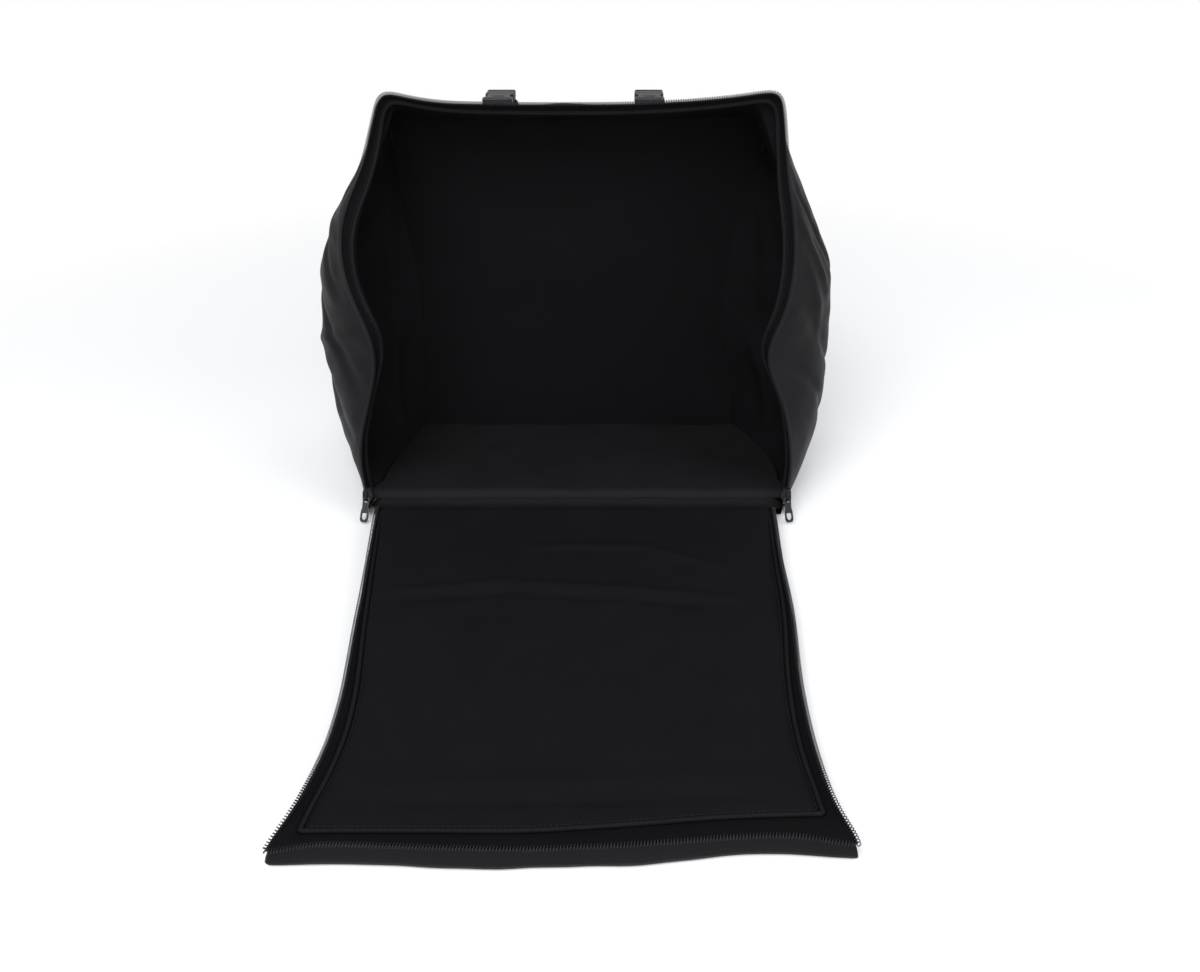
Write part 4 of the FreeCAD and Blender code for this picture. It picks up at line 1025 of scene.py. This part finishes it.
def shoulder_strap(side_name, side):
    """The webs, pad, adjuster and tab of one shoulder strap."""
    x = side * STRAP_X
    web_z = BUCKLE_Z + 0.0045
    start_y, next_y = 0.0035, 0.010
    anchor = smooth_line([(x, start_y, top_height(x, start_y) + 0.0012),
                          (x, next_y, top_height(x, next_y) + 0.0016), (x, 0.020, web_z - 0.0008),
                          (x, BUCKLE_Y + 0.0012, web_z), (x, BUCKLE_Y + 0.0050, web_z + 0.0010)], 40)
    made = band(side_name + "_anchor", anchor, WEB_WIDTH, WEB_THICK, (0, 0, 1), "case")
    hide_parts(side_name + "_anchor_web")
    back_top = on_back(x, BACK_TOP, 0.0091)
    plug_bar = BUCKLE_Y + PLUG_Y + 0.0150
    over_edge = (x, back_top[1] - 0.004, back_top[2] + 0.0070)
    upper = smooth_line([(x, plug_bar, web_z + 0.0008), (x, plug_bar + 0.006, web_z),
                         (x, back_top[1] - 0.025, back_top[2] + 0.0135), over_edge,
                         on_back(x, 0.3945, WEB_DEPTH - 0.003), on_back(x, 0.385, WEB_DEPTH),
                         on_back(x, PAD_LOW + PAD_LENGTH - 0.006, WEB_DEPTH)], 110)
    tilt = np.gradient(upper, axis=0)
    normal = unit(np.stack([0 * tilt[:, 0], -tilt[:, 2], tilt[:, 1]], -1))
    made = band(side_name + "_upper_strap", upper, WEB_WIDTH, WEB_THICK, normal, None)
    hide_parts(side_name + "_upper_web")
    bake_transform(made)
    lower = smooth_line([on_back(x, up, depth) for up, depth in (
        (PAD_LOW + 0.006, WEB_DEPTH), (0.112, WEB_DEPTH), (0.070, WEB_DEPTH), (0.040, WEB_DEPTH),
        (0.031, 0.0150), (0.020, 0.0134), (0.0045, 0.0134))], 90)
    made = band(side_name + "_lower_strap", lower, WEB_WIDTH, WEB_THICK, BACK_OUT, "case")
    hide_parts(side_name + "_lower_web")
    shoulder_pad(side_name, x)
    adjuster(side_name, x)
    strap_tab(side_name, x)


def shoulder_pad(side_name, x):
    """Padded part: a soft slab with rounded ends, a bound edge and two quilting lines."""
    rows, columns = 130, 72
    t = np.linspace(0, 1, rows)
    half_width = PAD_HALF * (1 - np.clip(np.abs(t - 0.5) * 2, 0, 1) ** 14) ** 0.35 + 0.0002
    ring = np.arange(columns) * TAU / columns
    cosine, sine = np.cos(ring), np.sin(ring)
    across = np.sign(cosine) * np.abs(cosine) ** 0.42
    rise = np.sign(sine) * np.abs(sine) ** 0.75
    ends = (1 - np.clip(np.abs(t - 0.5) * 2, 0, 1) ** 10) ** 0.5
    u = t[:, None] * PAD_LENGTH * np.ones((1, columns))
    v = across[None, :] * half_width[:, None]
    groove = 1 - 0.42 * np.exp(-((np.abs(v) - QUILT_X) / 0.0016) ** 2) - 0.25 * np.exp(-(v / 0.0018) ** 2)
    thick = 0.0060 * ends[:, None] * groove + 0.0006
    wave = 0.0005 * noise_field(u, v, 81, 0.03) + 0.0003 * np.sin(u * TAU / 0.012) * np.exp(-(v / 0.020) ** 4)
    depth = WEB_DEPTH + (rise[None, :] * thick + wave * np.sign(rise)[None, :] * ends[:, None])
    grid = (np.array([x, HALF_DEPTH, 0])[None, None] + np.array([1, 0, 0]) * v[..., None]
            + BACK_UP * (PAD_LOW + u)[..., None] + BACK_OUT * depth[..., None])
    faces = [tuple(f) for f in grid_faces(rows, columns, wrap=True)]
    faces += [tuple(range(columns))[::-1], tuple((rows - 1) * columns + n for n in range(columns))]
    uvs = np.stack([np.abs(v) * np.ones_like(u), u], -1).reshape(-1, 2)
    made = mesh_object(side_name + "_pad", grid.reshape(-1, 3), faces, PAD_CLOTH, "case", uvs)
    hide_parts(side_name + "_shoulder_pad")
    rim = [on_back(x + cx, PAD_LOW + PAD_LENGTH / 2 + cy, WEB_DEPTH)
           for cx, cy in oblong(0, 0, 0.0622, PAD_LENGTH, 0.012)]
    rim.append(rim[0])
    swept(side_name + "_pad_binding", evenly(np.array(rim), 260), circle(0.0019, 8), BACK_OUT, BINDING,
          "case", capped=False)
    rows_of_thread = []
    for cx in (-QUILT_X, QUILT_X):
        rows_of_thread.append((np.array([on_back(x + cx, PAD_LOW + 0.010 + n * 0.019, WEB_DEPTH + 0.0040)
                                         for n in range(11)]), BACK_OUT))
    stitches(side_name + "_pad_stitches", rows_of_thread, "case")


def adjuster(side_name, x):
    """Ladder buckle on the lower web."""
    place = frame_matrix(on_back(x, PAD_LOW - 0.0303, WEB_DEPTH), (1, 0, 0), -BACK_UP, BACK_OUT)
    outline = rounded(mirrored([(0.0150, 0.0), (0.0170, 0.0040), (0.0158, 0.0130), (0.0170, 0.0220),
                                (0.0150, 0.0260)]), 0.0022)
    holes = [oblong(0, 0.0060, 0.0252, 0.0056, 0.0012)[::-1], oblong(0, 0.0200, 0.0252, 0.0056, 0.0012)[::-1]]
    parts = [plate([outline] + holes, 0.0012, 0.0034, 0.0007),
             plate([outline] + holes, -0.0034, -0.0012, 0.0007)]
    for sign in (-1, 1):
        parts.append(plate([oblong(sign * 0.0148, 0.013, 0.0026, 0.0200, 0.0008)], -0.0016, 0.0016, 0.0003))
    hard_piece(side_name + "_adjuster_buckle", parts, place, PLASTIC, side_name + "_adjuster",
               "buckle_plastic", side_name + "_strap_adjuster")


def strap_tab(side_name, x):
    """Sewn tab that holds the lower web, with a box of thread and its diagonal."""
    corners = mirrored([(0.0225, 0.0), (0.0225, 0.015), (0.0140, 0.026)])
    place = frame_matrix(on_back(x, TAB_LOW, 0.0094), (1, 0, 0), BACK_UP, BACK_OUT)
    hard_piece(side_name + "_tab", [plate([rounded(corners, 0.002)], 0.0, 0.0029, 0.0011)],
               place, NYLON, "case", "outer_nylon", side_name + "_strap_tab")
    box = [(-0.010, 0.004), (0.010, 0.004), (0.010, 0.019), (-0.010, 0.019), (-0.010, 0.004), (0.010, 0.019)]
    lines = [np.array([on_back(x + cx, TAB_LOW + cy, 0.0143) for cx, cy in ends])
             for ends in zip(box, box[1:] + box[:1])]
    rows_of_thread = [(line, BACK_OUT) for line in lines if length_of(line) > 0.001]
    stitches(side_name + "_tab_stitches", rows_of_thread, "case")


for side_name, side in (("left", -1), ("right", 1)):
    buckle(side_name, side)
    shoulder_strap(side_name, side)


# Carrying handle

HANDLE = JOINTS["handle_swing"]["pos_m"]
HANDLE_PLACE = frame_matrix(HANDLE, (1, 0, 0), -BACK_UP, BACK_OUT)
LOOP_X, STRAP_REACH, STRAP_Z = 0.046, 0.0385, 0.0013
GRIP_RADIUS, GRIP_HALF, GRIP_Y = 0.0070, 0.035, 0.0395


def in_handle(points):
    """Points given in the handle's own axes, moved into place."""
    return np.array([HANDLE_PLACE @ Vector(p) for p in points])


def handle():
    """Webbing handle with a padded grip, held by two sewn loops."""
    up = np.array(HANDLE_PLACE.col[2][:3])
    corners = [(-LOOP_X, -0.004), (-LOOP_X, STRAP_REACH), (LOOP_X, STRAP_REACH), (LOOP_X, -0.004)]
    bends = rounded(corners, 0.014, 10)[11:33]
    line = evenly(np.array([(x, y, STRAP_Z) for x, y in [(-LOOP_X, 0.0)] + bends + [(LOOP_X, 0.0)]]), 90)
    made = band("handle_strap", in_handle(line), 0.019, 0.0022, up, "handle")
    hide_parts("handle_web")
    rows, columns = 90, 48
    t = np.linspace(-1, 1, rows)
    radius = GRIP_RADIUS * (1 - np.abs(t) ** 12 * 0.35)
    ring = np.arange(columns) * TAU / columns
    x = t[:, None] * GRIP_HALF * np.ones((1, columns))
    lump = 1 + 0.035 * noise_field(x, ring[None, :] * GRIP_RADIUS * np.ones((rows, 1)), 91, 0.018)
    y = GRIP_Y + np.cos(ring)[None, :] * radius[:, None] * lump
    z = STRAP_Z + np.sin(ring)[None, :] * radius[:, None] * lump
    grid = in_handle(np.stack([x, y, z], -1).reshape(-1, 3))
    faces = [tuple(f) for f in grid_faces(rows, columns, wrap=True)]
    faces += [tuple(range(columns))[::-1], tuple((rows - 1) * columns + n for n in range(columns))]
    uvs = np.stack([np.broadcast_to(ring[None, :] * GRIP_RADIUS, x.shape), x], -1).reshape(-1, 2)
    grip = mesh_object("handle_roll", grid, faces, PAD_CLOTH, "handle", uvs)
    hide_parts("handle_grip")
    for sign in (-1, 1):
        arch = smooth_line([(sign * LOOP_X, y, z) for y, z in (
            (-0.011, -0.0050), (-0.006, -0.0044), (-0.0035, 0.0), (0.0, 0.0032), (0.0042, 0.0),
            (0.007, -0.0044), (0.017, -0.0050))], 40)
        name = "handle_loop_left" if sign < 0 else "handle_loop_right"
        band(name, in_handle(arch), 0.020, 0.0014, up, "case")
    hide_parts("handle_loops")


handle()


# Metal end stops of the zip

def zip_stop(side_name):
    """Small crimped stop at the foot of the coil."""
    _, centre, across, up, forward = zip_axes(side_name)
    place = frame_matrix(centre - up * 0.0116, across, up, forward)
    block = plate([oblong(0, 0, 0.0054, 0.0040, 0.0010)], -0.0024, 0.0024, 0.0007)
    hard_piece(side_name + "_zip_stop", [block], place, ENAMEL, "case", "slider_metal", "zip_stops")


for side_name in ("left", "right"):
    zip_stop(side_name)


# Floor, lights and camera

def stage_floor():
    """A wide pale floor that fades to the white background."""
    shade = Shade("studio_floor")
    (x, y, _), _ = shade.place()
    far = (((x * x + y * y) ** 0.5 - 0.55) * 1.6).capped(0, 1)
    white = shade.node("ShaderNodeEmission", {"Color": (1, 1, 1), "Strength": 1.0})
    shade.finish(Base_Color=(0.80, 0.80, 0.80), Roughness=0.7)
    mix = shade.nodes.new("ShaderNodeMixShader")
    shade.feed(mix.inputs[0], far)
    shade.links.new(shade.surface.outputs[0], mix.inputs[1])
    shade.links.new(white.socket, mix.inputs[2])
    shade.links.new(mix.outputs[0], shade.nodes["Material Output"].inputs[0])
    reach, below = 6.0, -0.0002
    points = np.array([[-reach, -reach, below], [reach, -reach, below], [reach, reach, below],
                       [-reach, reach, below]])
    made = mesh_object("studio_ground", points, [(0, 1, 2, 3)], shade.material, None)


def area_light(name, where, towards, size, power):
    """A soft square light aimed at a point."""
    data = bpy.data.lights.new(name, "AREA")
    data.size = size
    data.energy = power
    light = bpy.data.objects.new(name, data)
    light.location = where
    light.rotation_mode = "QUATERNION"
    light.rotation_quaternion = (Vector(towards) - Vector(where)).to_track_quat("-Z", "Y")
    bpy.context.scene.collection.objects.link(light)


def background():
    """White to the camera and through clear pieces, and a softer bluish grey as light."""
    world = bpy.data.worlds.new("studio")
    bpy.context.scene.world = world
    world.use_nodes = True
    nodes, links = world.node_tree.nodes, world.node_tree.links
    path = nodes.new("ShaderNodeLightPath")
    seen = nodes.new("ShaderNodeMath")
    seen.operation = "MAXIMUM"
    links.new(path.outputs["Is Camera Ray"], seen.inputs[0])
    links.new(path.outputs["Is Transmission Ray"], seen.inputs[1])
    mix = nodes.new("ShaderNodeMixShader")
    lit, shown = nodes["Background"], nodes.new("ShaderNodeBackground")
    lit.inputs["Color"].default_value = (0.92, 0.95, 1.0, 1)
    lit.inputs["Strength"].default_value = 0.65
    shown.inputs["Color"].default_value = (1, 1, 1, 1)
    links.new(seen.outputs[0], mix.inputs[0])
    links.new(lit.outputs[0], mix.inputs[1])
    links.new(shown.outputs[0], mix.inputs[2])
    links.new(mix.outputs[0], nodes["World Output"].inputs[0])


stage_floor()
background()
area_light("key", (-0.6, -1.4, 2.0), (0, -0.1, 0.15), 1.4, 40)
area_light("fill", (1.6, -0.9, 1.2), (0, 0, 0.2), 1.2, 14)
area_light("front", (0.1, -1.7, 0.9), (0, 0, 0.2), 1.0, 8)
area_light("left_rim", (-1.8, 0.3, 1.2), (0, 0, 0.2), 1.2, 5)
area_light("right_rim", (1.7, 0.6, 1.3), (0, 0, 0.2), 1.2, 6)

CAMERA_DOWN = 28.5
camera = bpy.data.objects.new("camera", bpy.data.cameras.new("camera"))
bpy.context.scene.collection.objects.link(camera)
bpy.context.scene.camera = camera
camera.data.sensor_width = 36
camera.data.lens = 31.65
camera.data.shift_x = -0.0225
camera.data.shift_y = -0.0555
camera.location = (0.055, -1.075, 0.65)
camera.rotation_euler = (math.radians(90 - CAMERA_DOWN), 0, 0)
bpy.context.scene.view_settings.view_transform = "Standard"
